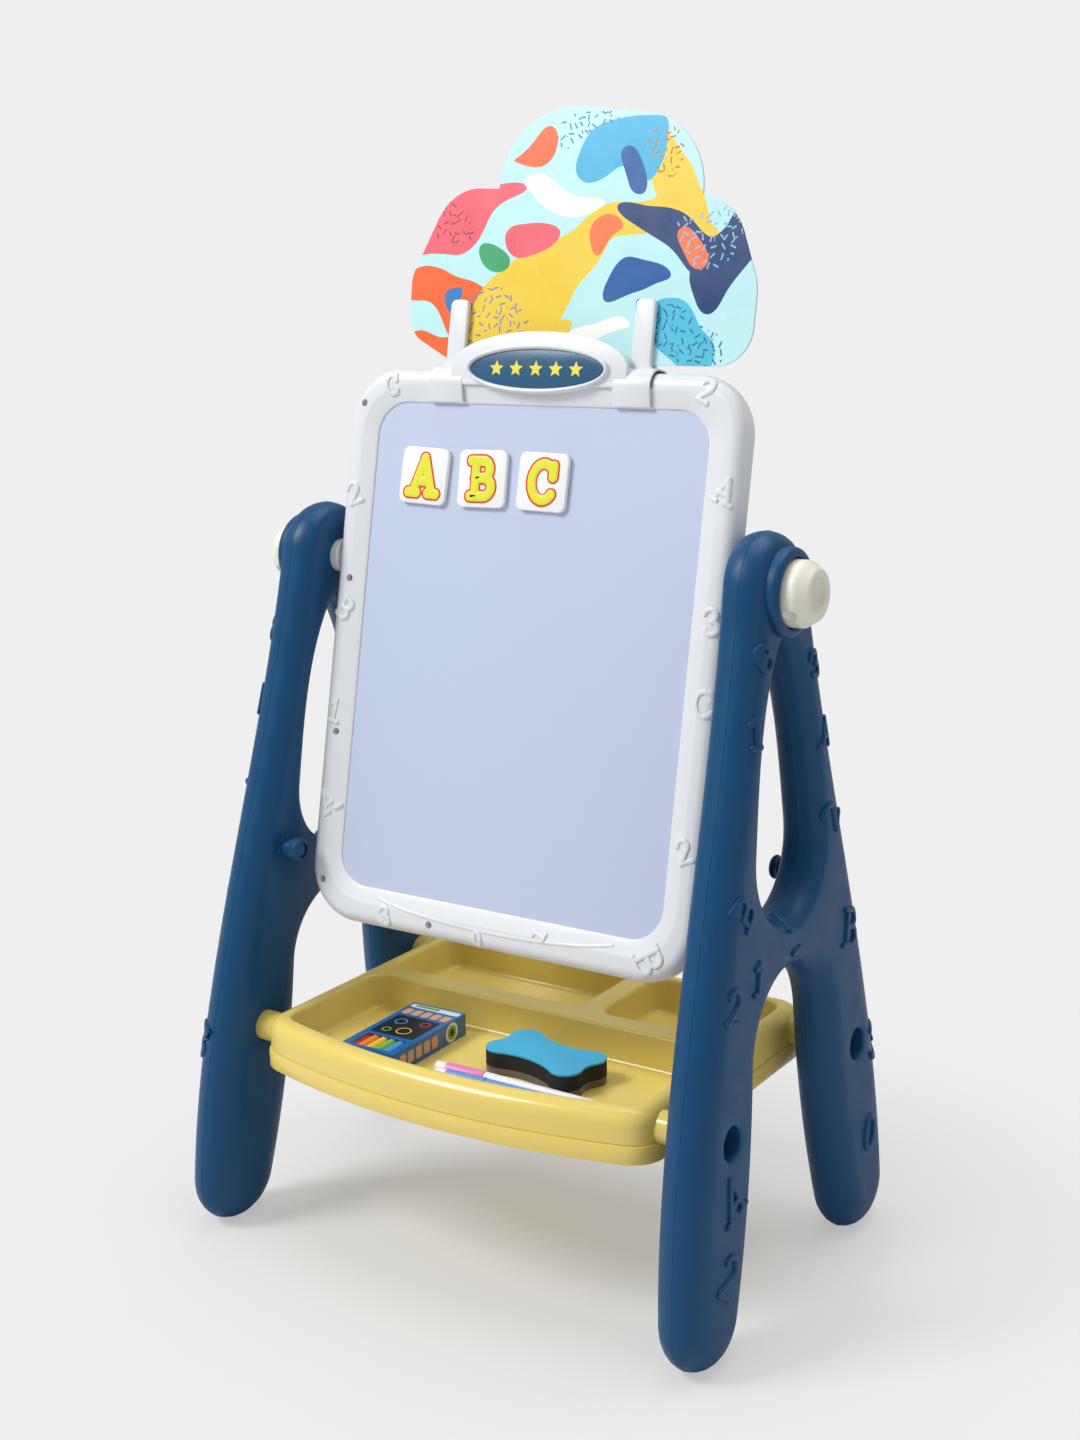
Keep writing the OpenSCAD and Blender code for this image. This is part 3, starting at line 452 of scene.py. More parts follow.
def strokes(lines, height, width):
    """Round strokes along lines on the XY plane, in millimetres; the lines' unit is height."""
    curve = bpy.data.curves.new("stroke", "CURVE")
    curve.dimensions = "3D"
    curve.bevel_depth = width / 2
    curve.bevel_resolution = 4
    ends = []
    for layer, points in enumerate(run for line in lines for run in runs(line)):
        spline = curve.splines.new("POLY")
        spline.points.add(len(points) - 1)
        for target, p in zip(spline.points, points):
            target.co = (p[0] * height, p[1] * height, layer * LAYER, 1)
        ends += [points[0], points[-1]]
    holder = bpy.data.objects.new("stroke", curve)
    shape = Shape()
    shape.add(bpy.data.meshes.new_from_object(holder))
    bpy.data.objects.remove(holder)
    bpy.data.curves.remove(curve)
    for layer, p in enumerate(ends):
        place = Matrix.Translation((p[0] * height, p[1] * height, (layer + 0.5) * LAYER / 2))
        bmesh.ops.create_icosphere(shape.work, subdivisions=3, radius=width / 2, matrix=place)
    return shape


def raised(name, look, body, ground, marks, width, crest):
    """Raised characters that follow the ground's surface, as one piece.

    marks holds (lines, height, place) with the place's Z axis out of the ground, in metres.
    """
    surface = BVHTree.FromObject(ground, bpy.context.evaluated_depsgraph_get())
    # Metres above the ground from which it is sought, and millimetres that a mark's lower half lies in it
    reach = 0.02
    sunk = 0.3
    shape = Shape()
    for lines, height, place in marks:
        mark = strokes(lines, height, width)
        out = (place.to_3x3() @ Vector((0, 0, 1))).normalized()
        for vert in mark.work.verts:
            level = vert.co.z * 2 / width
            steep = 1 - (1 - min(level, 1)) ** 2.2
            rise = crest * (steep * 0.85 + level * 0.2) if level > 0 else -sunk
            start = place @ Vector((vert.co.x * MM, vert.co.y * MM, 0))
            found = surface.ray_cast(start + out * reach, -out, 2.5 * reach)
            if found[0] is None:
                found = surface.find_nearest(start)
            vert.co = (found[0] + found[1] * rise * MM) / MM
        shape.join(mark)
    return shape.build(name, look, body, sharp=50)


# ---- Side frames -----------------------------------------------------------------------------

# Across: the inner face at the axle, the thickness there and at the floor, and how far the feet spread
INNER_X = 186.0
HEAD_T = 35.0
FOOT_T = 43.0
SPLAY = 14.6
# The round head and feet
HEAD_R = 43.0
FOOT_Y = 128.1
FOOT_R = 39.5
FOOT_Z = FOOT_R - 1.5
# The arch between the feet, and the window above it with its round top and bottom
ARCH_Z = 202.0
ARCH_R = 57.0
TIP_Z = AXLE_H - 47
TIP_R = 10.0
BOWL_Z = 352.0
BOWL_R = 50.0
# How far the edges round off, at the head and at the floor
INNER_EDGE = (12, 30)
OUTER_EDGE = (16, 27)
WINDOW_EDGE = 12.0
# The tray's pegs, the spindle, the ring round a knob with the knob's seat in it, and a tilt stop
PEG_Y = 107.0
PEG_Z = 166.0
PEG_HOLE_R = 12.9
SPINDLE_R = 13.5
SPINDLE_HOLE_R = SPINDLE_R + 0.1
RING_R = 33.0
RING_FACE = INNER_X + HEAD_T + 7
SEAT_X = RING_FACE - 5
SEAT_R = 25.7
STOP_Y = 78.0
STOP_Z = 312.0


def at_height(z, head, foot):
    """A size that changes evenly from the floor to the axle."""
    return foot + (head - foot) * z / AXLE_H


def frame_t(z):
    return at_height(z, HEAD_T, FOOT_T)


def inner_face(z):
    return INNER_X + at_height(z, 0, SPLAY)


def half_outline():
    """Half of a side frame's edge, from the top of the head round the rear foot to the arch."""
    head = arc(0, AXLE_H, HEAD_R, 90, 11, 20)
    foot = arc(FOOT_Y, FOOT_Z, FOOT_R, 3, -162.5, 40)
    arch = arc(0, ARCH_Z, ARCH_R, -176.4, -90, 20, -1)
    return head + bend(head[-1], foot[0], 40) + foot + bend(foot[-1], arch[0], 14) + arch


def half_window():
    """Half of the window's edge, from its pointed top down to its lowest point."""
    tip = arc(0, TIP_Z, TIP_R, -90, -145, 8, -1)
    bowl = arc(0, BOWL_Z, BOWL_R, -172, -270, 22, -1)
    return tip + bend(tip[-1], bowl[0], 14, -1) + bowl


def whole(half):
    """Half an outline and its mirror image."""
    return half + [(-p[0], p[1], 180 - p[2]) for p in half[-2:0:-1]]


def frame_shape():
    """The right-hand frame: edges that round off more towards the feet, a mould line and its holes."""
    shape = Shape()
    seam = 0.9
    bead = 0.3
    levels = [-90, -78, -66, -54, -42, -30, -18, -8, -seam, 0, seam, 8, 18, 30, 42, 54, 66, 78, 90]

    def ring(outline, level, edge):
        points = []
        half = radians(level)
        for across, up, normal in outline:
            depth = -bead if level == 0 else edge(up, level) * (1 - cos(half))
            y = across - depth * cos(radians(normal))
            z = max(up - depth * sin(radians(normal)), 0)
            points.append((inner_face(z) + frame_t(z) / 2 * (1 + sin(half)), y, z))
        return shape.loop(points)

    def outer_edge(up, level):
        return at_height(up, *(INNER_EDGE if level < 0 else OUTER_EDGE))

    def window_edge(up, level):
        return WINDOW_EDGE

    outer = [ring(whole(half_outline()), level, outer_edge) for level in levels]
    window = [ring(whole(half_window()), level, window_edge) for level in levels]
    shape.walls(outer)
    shape.walls(window)
    inner_lip = 0.8

    def hole(y, z, r, lip):
        """A hole's loops from the inner face to the outer one, with a rounded lip at both."""
        loops = []
        for d in (inner_lip, 0.25, 0):
            rim = circle(y, z, r + d)
            loops.append(shape.loop([(inner_face(up) + inner_lip - d, across, up) for across, up, _ in rim]))
        for grow, back in quarter(3):
            rim = circle(y, z, r + lip * grow)
            points = [(inner_face(up) + frame_t(up) - lip * back, across, up) for across, up, _ in rim]
            loops.append(shape.loop(points))
        shape.walls(loops)
        return loops[0], loops[-1]

    holes = [hole(0, AXLE_H, SPINDLE_HOLE_R, 0.5)]
    holes += [hole(y, PEG_Z, PEG_HOLE_R, 1.8) for y in (-PEG_Y, PEG_Y)]
    shape.cap(outer[0], window[0], *[h[0] for h in holes])
    shape.cap(outer[-1], window[-1], *[h[1] for h in holes])
    return shape


def ring_profile():
    """The raised ring round a knob: (radius, place along X), from inside the frame outwards."""
    base = INNER_X + 15
    lip_r = 2.0
    crest_r = 5.0
    bore = [(SPINDLE_HOLE_R, base), (SPINDLE_HOLE_R, SEAT_X), (SEAT_R, SEAT_X)]
    lip = [(SEAT_R + lip_r * grow, RING_FACE - lip_r * back) for grow, back in quarter(5)]
    crest = [(RING_R - crest_r * grow, RING_FACE - crest_r * back) for grow, back in reversed(quarter(7))]
    return bore + lip + crest + [(RING_R, base)]


# Characters on the outer face of each frame: (character, distance from the axle line, height up, size, turn)
FRAME_MARKS = [
    ("C", -38, 502, 21, 25), ("3", 41, 486, 21, 22), ("1", -53, 452, 22, -5), ("A", 59, 431, 22, 0),
    ("2", 67, 364, 26, 60), ("B", -79, 329, 26, 45), ("1", -1, 288, 26, 10), ("B", 96, 267, 30, -12),
    ("1", -61, 274, 25, -12), ("2", -99, 265, 26, -16), ("3", 141, 158, 31, 0), ("A", -109, 126, 33, 16),
    ("0", 127, 83, 28, -18), ("2", -120, 70, 31, -36),
]
MARK_STROKE = 5.0
MARK_CREST = 2.0


def build_side_frames():
    for side, turn in SIDES:
        node = "side_frame_" + side
        body = frame_shape().build(node + "_skin", BLUE, "stand", turn, replaces=[node])
        ring = lathe(ring_profile(), 96, closed=True)
        ring.build("knob_ring_" + side, BLUE, "stand", turn @ along_x(0, 0, AXLE_H))
        marks = []
        for char, y, z, size, angle in FRAME_MARKS:
            place = turn @ at(inner_face(z) + frame_t(z), y, z) @ SECTION
            marks.append((GLYPHS[char], size, place @ Matrix.Rotation(radians(angle), 4, "Z")))
        raised("frame_marks_" + side, BLUE, "stand", body, marks, MARK_STROKE, MARK_CREST)


def build_stops():
    """One stop on each frame: a stem with a slightly larger end, parted by a fine groove."""
    root_l = 12
    root_r = 4
    stem_r = 8.6
    head_r = 9.6
    end = root_l + 18
    groove = end - 8
    crown = 3.0
    groove_r = stem_r - 0.5
    profile = [
        (0, 0), (root_r, 0), (root_r, root_l), (stem_r + 0.6, root_l), (stem_r, root_l + 0.8),
        (stem_r, groove - 0.8), (groove_r, groove - 0.6), (groove_r, groove),
        (head_r - 0.4, groove), (head_r, groove + 0.4),
    ]
    profile += [(head_r - crown * grow, end - crown * back) for grow, back in reversed(quarter(5))]
    profile.append((0, end))
    for side, turn in SIDES:
        place = turn @ along_x(inner_face(STOP_Z) - 0.2 + root_l, STOP_Y, STOP_Z, -1)
        lathe(profile, 48).build("stop_" + side, BLUE, "stand", place, replaces=["tilt_stop_" + side])


# ---- Pivots and knobs ------------------------------------------------------------------------

KNOB_R = 24.5
KNOB_L = 22.5
DISH_DEPTH = 7.0
# Height and half width of the fine line that the mould leaves round a knob
MOULD_LINE = 0.15
KNOB_X = SEAT_X + 0.5
NECK_R = 7.0
BOARD_EDGE = 180.0


def knob_profile():
    """Half of a knob's section: a straight side, a soft shoulder, a cone, and a round rim about a dish."""
    side_l = 11.0
    shoulder_r = 6.0
    rim_r = 3.0
    dish_r = 13.5
    floor_r = 5.0
    cone = 33
    side = arc(KNOB_R - shoulder_r, side_l, shoulder_r, 0, cone, 8)
    side += arc(dish_r + rim_r, KNOB_L - rim_r, rim_r, cone, 180, 14)
    depth = DISH_DEPTH - rim_r
    floor = [
        (dish_r - floor_r * grow, KNOB_L - rim_r - depth * (1 - back)) for grow, back in quarter(6)[1:]
    ]
    foot = [(0, 0), (KNOB_R - 1.2, 0), (KNOB_R, 1.2)]
    return foot + [p[:2] for p in side] + floor + [(0, KNOB_L - DISH_DEPTH)]


def finger_scoop(sign):
    """The body that leaves a shallow oval for a fingertip, low on a knob's front."""
    scoop = Shape()
    middle = Matrix.Translation((sign * (KNOB_X + 10), 0, AXLE_H))
    down = Matrix.Rotation(radians(32), 4, "X")
    out = Matrix.Translation((0, -KNOB_R - 1.4, 0))
    half_sizes = Matrix.Diagonal((6.8, 3.4, 5.2, 1))
    bmesh.ops.create_uvsphere(
        scoop.work, u_segments=48, v_segments=24, radius=1, matrix=middle @ down @ out @ half_sizes,
    )
    return scoop.solid("scoop", IN_PLACE)


def spindle_profile():
    """A thin neck inside the board, and the spindle from the board's edge to the knob's seat."""
    root = 170.5
    end = SEAT_X - 1
    chamfer = 0.6
    return [
        (0, root), (NECK_R, root), (NECK_R, BOARD_EDGE), (SPINDLE_R - chamfer, BOARD_EDGE),
        (SPINDLE_R, BOARD_EDGE + chamfer), (SPINDLE_R, end - chamfer), (SPINDLE_R - chamfer, end), (0, end),
    ]


def build_pivots():
    profile = knob_profile()
    half = [(p[0] + MOULD_LINE, p[1] + MOULD_LINE) for p in profile[1:]]
    fin = half + [(-p[0], p[1]) for p in half[-2::-1]]
    for side, sign in (("left", -1), ("right", 1)):
        body = "knob_" + side
        place = along_x(sign * KNOB_X, 0, AXLE_H, sign)
        knob = lathe(profile, 128).build("hand_knob_" + side, CREAM, body, place, replaces=[body])
        combine(knob, [finger_scoop(sign)], "DIFFERENCE")
        line = slab(fin, -MOULD_LINE, MOULD_LINE, 0)
        line.build("mould_line_" + side, CREAM, body, place @ SECTION)
        spindle = lathe(spindle_profile(), 64)
        axle = along_x(0, 0, AXLE_H, sign)
        spindle.build("pivot_" + side, WHITE, "board", axle, replaces=["spindle_" + side])


# ---- Board -----------------------------------------------------------------------------------

# How far the board reaches above and below the axle, half its thickness, and its rails
BOARD_UP = 153.0
BOARD_DOWN = 297.0
HALF_T = 13.0
RAIL_W = 29.0
RAIL_TOP = 27.0
RAIL_BOTTOM = 31.0
PANEL_Y = 8.0
RIM_ROUND = 10.0
# The sloping band from the rail down to the panel: (outside the window, in front of the middle)
BAND = [
    (14.4, HALF_T), (13.2, 12.92), (12.2, 12.65), (6.0, 10.9), (1.6, 9.6), (0.6, 9.2), (0.1, 8.7),
    (0, PANEL_Y + 0.05), (7.9, PANEL_Y + 0.05),
]


def edge_ring(d, y):
    """The board's outer edge, moved in by d."""
    ring = rounded(-BOARD_EDGE + d, BOARD_EDGE - d, -BOARD_DOWN + d, BOARD_UP - d, 46 - d, 24)
    return [(p[0], y, p[1]) for p in ring]


def window_ring(d, y):
    """The window's edge, moved out by d."""
    half = BOARD_EDGE - RAIL_W + d
    ring = rounded(-half, half, -BOARD_DOWN + RAIL_BOTTOM - d, BOARD_UP - RAIL_TOP + d, 27 + d, 24)
    return [(p[0], y, p[1]) for p in ring]


def shell_shape():
    """One shell of the board's frame: rounded outside, with a sloping band down to the panel."""
    joint = -0.05
    rings = [window_ring(8, joint), edge_ring(0.5, joint), edge_ring(0.05, -0.35), edge_ring(0, -1.2)]
    rings += [edge_ring(RIM_ROUND * grow, -3 - RIM_ROUND * (1 - back)) for grow, back in quarter(10)]
    rings += [window_ring(d, -y) for d, y in BAND]
    shape = Shape()
    shape.walls([shape.loop(ring) for ring in rings], closed=True)
    return shape


# Each screw's hole: (across, up from the axle)
SCREWS = [(-165, 124), (-165, -18), (-165, -144), (-165, -266), (-55, -286)]
SCREW_R = 3.0
# How far in front of the board's middle the screws' holes end
SCREW_SEAT = 6.0

# Characters on the board's rails: (character, across, up from the axle, size, turn)
BOARD_MARKS = [
    ("C", -139, 139, 16, 12), ("2", -168, 51, 18, 25), ("B", -167, -43, 18, -35), ("1", -168, -127, 19, -8),
    ("A", -167, -201, 19, 35), ("3", -99, -286, 16, 14), ("0", -8, -289, 11, 10), ("1", 47, -276, 13, 70),
    ("B", 145, -279, 24, -57), ("2", 165, -194, 18, 25), ("C", 169, -86, 20, 8), ("3", 169, -26, 20, 10),
    ("A", 169, 69, 19, -18), ("2", 146, 140, 17, -20),
]


# Widths of the strokes and how far they stand out, for the characters and for the line below them
BOARD_STROKE = 3.8
BOARD_CREST = 1.3
LINE_STROKE = 2.4
LINE_CREST = 0.7


def build_board():
    for side, turn in FACES:
        face = ON_BOARD @ turn
        shell = shell_shape().build("shell_" + side, WHITE, "board", face, replaces=["board_frame_" + side])
        drills = []
        for x, z in SCREWS:
            drill = lathe([(0, 0), (SCREW_R, 0), (SCREW_R, 12), (0, 12)], 32)
            drills.append(drill.solid("drill", face @ at(x, -SCREW_SEAT, z) @ STOOD_UP))
        combine(shell, drills, "DIFFERENCE")
        marks = [
            (GLYPHS[char], size, face @ at(x, -HALF_T, z) @ STOOD_UP @ at(0, 0, 0, angle))
            for char, x, z, size, angle in BOARD_MARKS
        ]
        raised("board_marks_" + side, WHITE, "board", shell, marks, BOARD_STROKE, BOARD_CREST)
        # A raised line that hangs in a shallow curve along the bottom rail
        line = bow(2, -262, 130, 20.5, 212, 328, 40)
        place = face @ at(0, -HALF_T, 0) @ STOOD_UP
        raised("bottom_line_" + side, WHITE, "board", shell, [([line], 1.0, place)], LINE_STROKE, LINE_CREST)


# ---- Header ----------------------------------------------------------------------------------

# The saddle over the top rail: half its length, its wall, its inner and outer side, its top and its foot
HEADER_HALF = 100.5
HEADER_WALL = 2.6
SADDLE_IN = HALF_T + 0.4
SADDLE_OUT = SADDLE_IN + HEADER_WALL
SADDLE_TOP = BOARD_UP + 0.4 + HEADER_WALL
SKIRT_Z = 140.0
# The tongues that hold the card, the clips under them, and the arch behind the nameplate
PRONG_X = 84.5
PRONG_W = 17.0
PRONG_H = 52.0
CLIP_HALF = 16.0
ARCH_HALF = 80.0
ARCH_RISE = 27.0
# Each of the nameplate's ovals reaches this much less far up than across from its middle.
OVAL = 46


def channel(grow):
    """A channel's surface round the top rail, as (y, z), at grow from the inner one."""
    middle_y = HALF_T - RIM_ROUND
    middle_z = BOARD_UP - RIM_ROUND
    r = SADDLE_IN - middle_y + grow
    return [p[:2] for p in arc(middle_y, middle_z, r, 0, 90, 8) + arc(-middle_y, middle_z, r, 90, 180, 8)]


def mirrored(points):
    """The same points on the other side of the board, in the opposite order."""
    return [(-p[0], p[1]) for p in reversed(points)]


def skirt_section():
    """The saddle's channel with the rounded lower edges of its two skirts."""
    edge_r = 1.6
    edge = arc(SADDLE_OUT - edge_r, SKIRT_Z + edge_r, edge_r, -90, 0, 4)
    foot = [(SADDLE_IN, SKIRT_Z)] + [p[:2] for p in edge]
    return foot + channel(HEADER_WALL) + mirrored(foot) + channel(0)[::-1]


def clip_section():
    """A clip: the channel again, slightly proud of the saddle and carried down the bands to the panels."""
    proud = 0.5
    foot = [(13.4, 139.2), (10.1, 127.0), (11.6, 126.4), (12.6, 126.9), (SADDLE_OUT + proud, 140.0)]
    return foot + channel(HEADER_WALL + proud) + mirrored(foot) + channel(0)[::-1]


def arch_outline():
    """The flat arch that carries the nameplate."""
    base = SADDLE_TOP - 12
    top = [(p[0], p[1] + SADDLE_TOP - 1) for p in bow(0, 0, ARCH_HALF, ARCH_RISE, 0, 180, 60)]
    return [(ARCH_HALF, base)] + top + [(-ARCH_HALF, base)]


def prong_outline(x):
    """An upright tongue with rounded corners, and fillets where it grows out of the saddle."""
    half = PRONG_W / 2
    low = SADDLE_TOP - 1
    high = low + PRONG_H + 1
    corner = 5.0
    flare = 6.0
    right = arc(x + half + flare, low + flare, flare, 90, 0, 6, -1)
    top = arc(x + half - corner, high - corner, corner, 0, 90, 6)
    top += arc(x - half + corner, high - corner, corner, 90, 180, 6)
    left = arc(x - half - flare, low + flare, flare, 180, 90, 6, -1)
    base = [(x - half - flare, low - 4), (x + half + flare, low - 4)]
    return [p[:2] for p in right + top + left] + base


def star(across, r):
    """A five-pointed star."""
    points = []
    for i in range(10):
        reach = r if i % 2 == 0 else r * 0.45
        points.append((across - reach * sin(pi * i / 5), reach * cos(pi * i / 5)))
    return points


def build_nameplate():
    """An oval plate with a row of stars, in a raised rim."""
    place = UPRIGHT @ at(0, BOARD_UP)
    rim = Shape()
    # The rim's section: (half of its width, how far in front of the board's middle)
    steps = [
        (65, 12.5), (65, 16.8), (64.6, 18.2), (63.8, 19.2), (63.0, 19.5), (62.2, 19.3), (61.4, 18.6),
        (61.0, 17.6), (61.0, 14.0),
    ]
    rim.walls([rim.loop([(*p, level) for p in ellipse(a, a - OVAL)]) for a, level in steps])
    rim.build("nameplate_rim", WHITE, "header", place)
    plate = slab(ellipse(60.9, 60.9 - OVAL), 15.6, 17.0, 0.3)
    plate.build("plate", TEAL, "header", place, replaces=["nameplate"])
    stars = Shape()
    for i in range(5):
        stars.join(slab(star(18 * (i - 2), 6.5), 16.9, 17.25, 0))
    stars.build("plate_stars", PLATE_INK, "header", place)


def build_header():
    across = ON_BOARD @ SECTION
    saddle = slab(skirt_section(), -HEADER_HALF, HEADER_HALF, 1.0)
    saddle.build("header_saddle", WHITE, "header", across, replaces=["header_bracket"])
    prongs = (("left", -PRONG_X), ("right", PRONG_X))
    for side, x in prongs:
        clip = slab(clip_section(), x - CLIP_HALF, x + CLIP_HALF, 0.5)
        clip.build("header_clip_" + side, WHITE, "header", across)
    for face, turn in FACES:
        place = ON_BOARD @ turn @ STOOD_UP
        arch = slab(arch_outline(), SADDLE_OUT - 4, SADDLE_OUT, 1.2)
        arch.build("header_arch_" + face, WHITE, "header", place)
        for side, x in prongs:
            prong = slab(prong_outline(x), 1.4, 5.9, 1.2)
            prong.build(f"header_prong_{face}_{side}", WHITE, "header", place)
    build_nameplate()


# ---- Picture card ----------------------------------------------------------------------------

# The card's lower edge, up from the axle, and its thickness
CARD_FOOT = 159.5
CARD_T = 2.0
# Lobes of the cloud-shaped card: (across, up from the card's lower edge, radius)
CARD_BODY = [
    (-110, 39.5, 26), (145, 28, 28), (-108, 62, 29), (-80, 96, 40), (114, 79, 47), (134, 51, 39),
    (-86, 15.5, 15.5),
]
CARD_CROWN = [(0, 135.5, 60), (60, 126.5, 61)]

CARD_GROUND = "#BEEDF0"
# Soft shapes on the card: (across, up from the axle, half width, half height, turn, colour)
CARD_SHAPES = [
    (-96, 272, 58, 22, 24, "#EE6270"), (-84, 196, 62, 17, -24, "#F0682E"), (-112, 172, 44, 15, 8, "#F0682E"),
    (10, 235, 120, 22, 33, "#F2CF3E"), (104, 296, 66, 20, -46, "#F2CF3E"), (-34, 186, 58, 15, 14, "#F2CF3E"),
    (110, 262, 68, 19, -14, "#1D3F74"), (142, 250, 36, 24, 10, "#1D3F74"), (60, 326, 48, 20, 14, "#3FB4DE"),
    (-38, 336, 22, 15, 24, "#F0682E"), (116, 196, 27, 27, 0, "#4CC0DE"), (36, 186, 30, 9, -12, "#FDFDF7"),
    (-8, 292, 44, 13, -20, "#FDFDF7"), (112, 260, 16, 13, 0, "#F27A45"), (52, 304, 12, 9, 10, "#1D5DA3"),
    (-104, 206, 9, 6, 20, "#2E7CC0"), (-22, 252, 17, 17, 0, "#EE6270"), (70, 222, 26, 9, 24, "#1D5DA3"),
    (-56, 238, 22, 14, -30, "#37A66B"), (44, 250, 14, 14, 0, "#F27A45"), (84, 186, 10, 24, 18, "#4C8FD6"),
]
# Fields of small dashes: (across, up, half width, half height, colour)
CARD_DASHES = [
    (-104, 276, 34, 20, "#A23A52"), (14, 345, 34, 12, "#2E86B4"), (128, 266, 34, 20, "#8FB8DC"),
    (122, 194, 30, 26, "#2A6F96"), (-60, 190, 34, 16, "#7E86B8"), (96, 318, 24, 14, "#A8861C"),
]
DASH_L = 7.0
DASH_W = 1.3


def within(material, place, across, up, half_x, half_z, turn=0):
    """1 inside an ellipse on the card and 0 outside it."""
    frame_of_ellipse = [
        ("Vector", place), ("Location", ON_BOARD @ Vector((across * MM, 0, up * MM))),
        ("Rotation", (0, -radians(turn), 0)), ("Scale", (half_x * MM, 1, half_z * MM)),
    ]
    local = add_node(material, "ShaderNodeMapping", frame_of_ellipse, vector_type="TEXTURE").outputs[0]
    return maths(material, "LESS_THAN", (0, distance(material, local)), (1, 1.0))


def product(material, *factors):
    """The product of factors that are sockets."""
    total = factors[0]
    for factor in factors[1:]:
        total = maths(material, "MULTIPLY", (0, total), (1, factor))
    return total


def dashes(material, place):
    """A scatter of short dashes at all angles: one to a cell of a jittered grid."""
    grid = [("Vector", place), ("Scale", METRE / DASH_L), ("Randomness", 0.8)]
    cells = add_node(material, "ShaderNodeTexVoronoi", grid)
    offset = vector(material, "SUBTRACT", (0, place), (1, cells.outputs["Position"]))
    angle = maths(material, "MULTIPLY", (0, cells.outputs["Color"]), (1, 12.0))
    turned = add_node(
        material, "ShaderNodeVectorRotate", [("Vector", offset), ("Angle", angle)], rotation_type="Y_AXIS",
    )
    parts = add_node(material, "ShaderNodeSeparateXYZ", [(0, turned.outputs[0])])
    limits = []
    for axis, half in (("X", DASH_L * 0.36), ("Z", DASH_W / 2)):
        size = maths(material, "ABSOLUTE", (0, parts.outputs[axis]))
        limits.append(maths(material, "LESS_THAN", (0, size), (1, half * MM)))
    return product(material, *limits)


def card_look():
    """Printed board: soft overlapping shapes with wavy edges, and fields of small dashes, on pale aqua."""
    look = finish(
        "Printed card", "card_print", CARD_GROUND, rough=0.3, grain=1.2, height=0.01,
        extra=[("Coat Weight", 0.2)],
    )
    material = look.material
    place = own_place(material)
    flat = vector(material, "MULTIPLY", (0, place), (1, (1, 0, 1)))
    warp = add_node(material, "ShaderNodeTexNoise", [("Vector", flat), ("Scale", 14.0), ("Detail", 0.5)])
    middle = vector(material, "SUBTRACT", (0, warp.outputs["Color"]), (1, (0.5, 0.5, 0.5)))
    bent = vector(material, "ADD", (0, place), (1, vector(material, "SCALE", (0, middle), ("Scale", 0.09))))
    colour = CARD_GROUND
    for *shape, tint in CARD_SHAPES:
        colour = mixed(material, within(material, bent, *shape), colour, tint)
    marks = dashes(material, flat)
    for *field, tint in CARD_DASHES:
        colour = mixed(material, product(material, within(material, bent, *field), marks), colour, tint)
    feed(material.node_tree.nodes["Principled BSDF"], [("Base Color", colour)])
    return look


def hull(lobes, half_t):
    """A plate in the shape of a band stretched round circles, with whole flat faces."""
    shape = Shape()
    for across, up, r in lobes:
        for level in (-half_t, half_t):
            place = Matrix.Translation((across, CARD_FOOT + up, level))
            bmesh.ops.create_circle(shape.work, segments=96, radius=r, matrix=place)
    spare = bmesh.ops.convex_hull(shape.work, input=shape.work.verts)["geom_interior"]
    inner = [item for item in spare if isinstance(item, bmesh.types.BMVert)]
    bmesh.ops.delete(shape.work, geom=inner, context="VERTS")
    bmesh.ops.dissolve_limit(
        shape.work, angle_limit=radians(1), verts=shape.work.verts, edges=shape.work.edges,
        use_dissolve_boundaries=False,
    )
    return shape


def build_card():
    body = hull(CARD_BODY, CARD_T / 2)
    card = body.build("card", card_look(), "card", UPRIGHT, replaces=["picture_card"])
    combine(card, [hull(CARD_CROWN, CARD_T / 2).solid("crown", UPRIGHT)], "UNION")


# ---- Letter tiles ----------------------------------------------------------------------------

TILE_HALF = 22.5
TILE_R = 6.0
TILE_T = 4.0
# The first tile's place up from the axle, the step from one to the next, and how each of them hangs
TILE_X = -100
TILE_Z = 68
TILE_PITCH = 56.0
TILE_TURNS = (-2, 1, -1)
LETTER_H = 30.0
# Each layer of a letter: (name, look, width of its strokes, how far they stand out)
LETTER_LAYERS = [("outline", RED_INK, 11.0, 0.15), ("letter", YELLOW_INK, 8.2, 0.5)]


def build_tiles():
    back = PANEL_Y + 0.05
    front = back + TILE_T
    plan = rounded(-TILE_HALF, TILE_HALF, -TILE_HALF, TILE_HALF, TILE_R)
    for i, (name, turn) in enumerate(zip("abc", TILE_TURNS)):
        body = "tile_" + name
        place = UPRIGHT @ at(TILE_PITCH * i + TILE_X, TILE_Z, 0, turn)
        tile = slab(plan, back, front, 1.1, 4)
        base = tile.build("tile_block_" + name, LAMINATE, body, place, replaces=["letter_tile_" + name])
        letter = [(GLYPHS[name.upper()], LETTER_H, place @ at(0, 0, front))]
        for layer, look, width, crest in LETTER_LAYERS:
            raised(f"tile_{layer}_{name}", look, body, base, letter, width, crest)


# ---- Tray ------------------------------------------------------------------------------------

# Half the tray's length, the heights of its rim, its floor and its foot, and its walls
TRAY_HALF = inner_face(PEG_Z) - 13.0
TRAY_TOP = 183.0
TRAY_FLOOR = 155.0
TRAY_FOOT = 143.0
TRAY_WALL = 2.5
SKIRT_STEP = 1.5
# The rim's rounding and width, the curve of the front edge, and how far the tray reaches to both sides
RIM_R = 12.0
BOW_R = 600.0
TRAY_FRONT = 158.0
TRAY_REAR = 135.0
RIM_W = 18.0
# The compartments: the front one's rear edge, the rear ones' front edge, and the wall between those
FRONT_END = 2.0
REAR_START = 24.0
PARTING = (25.0, 46.0)


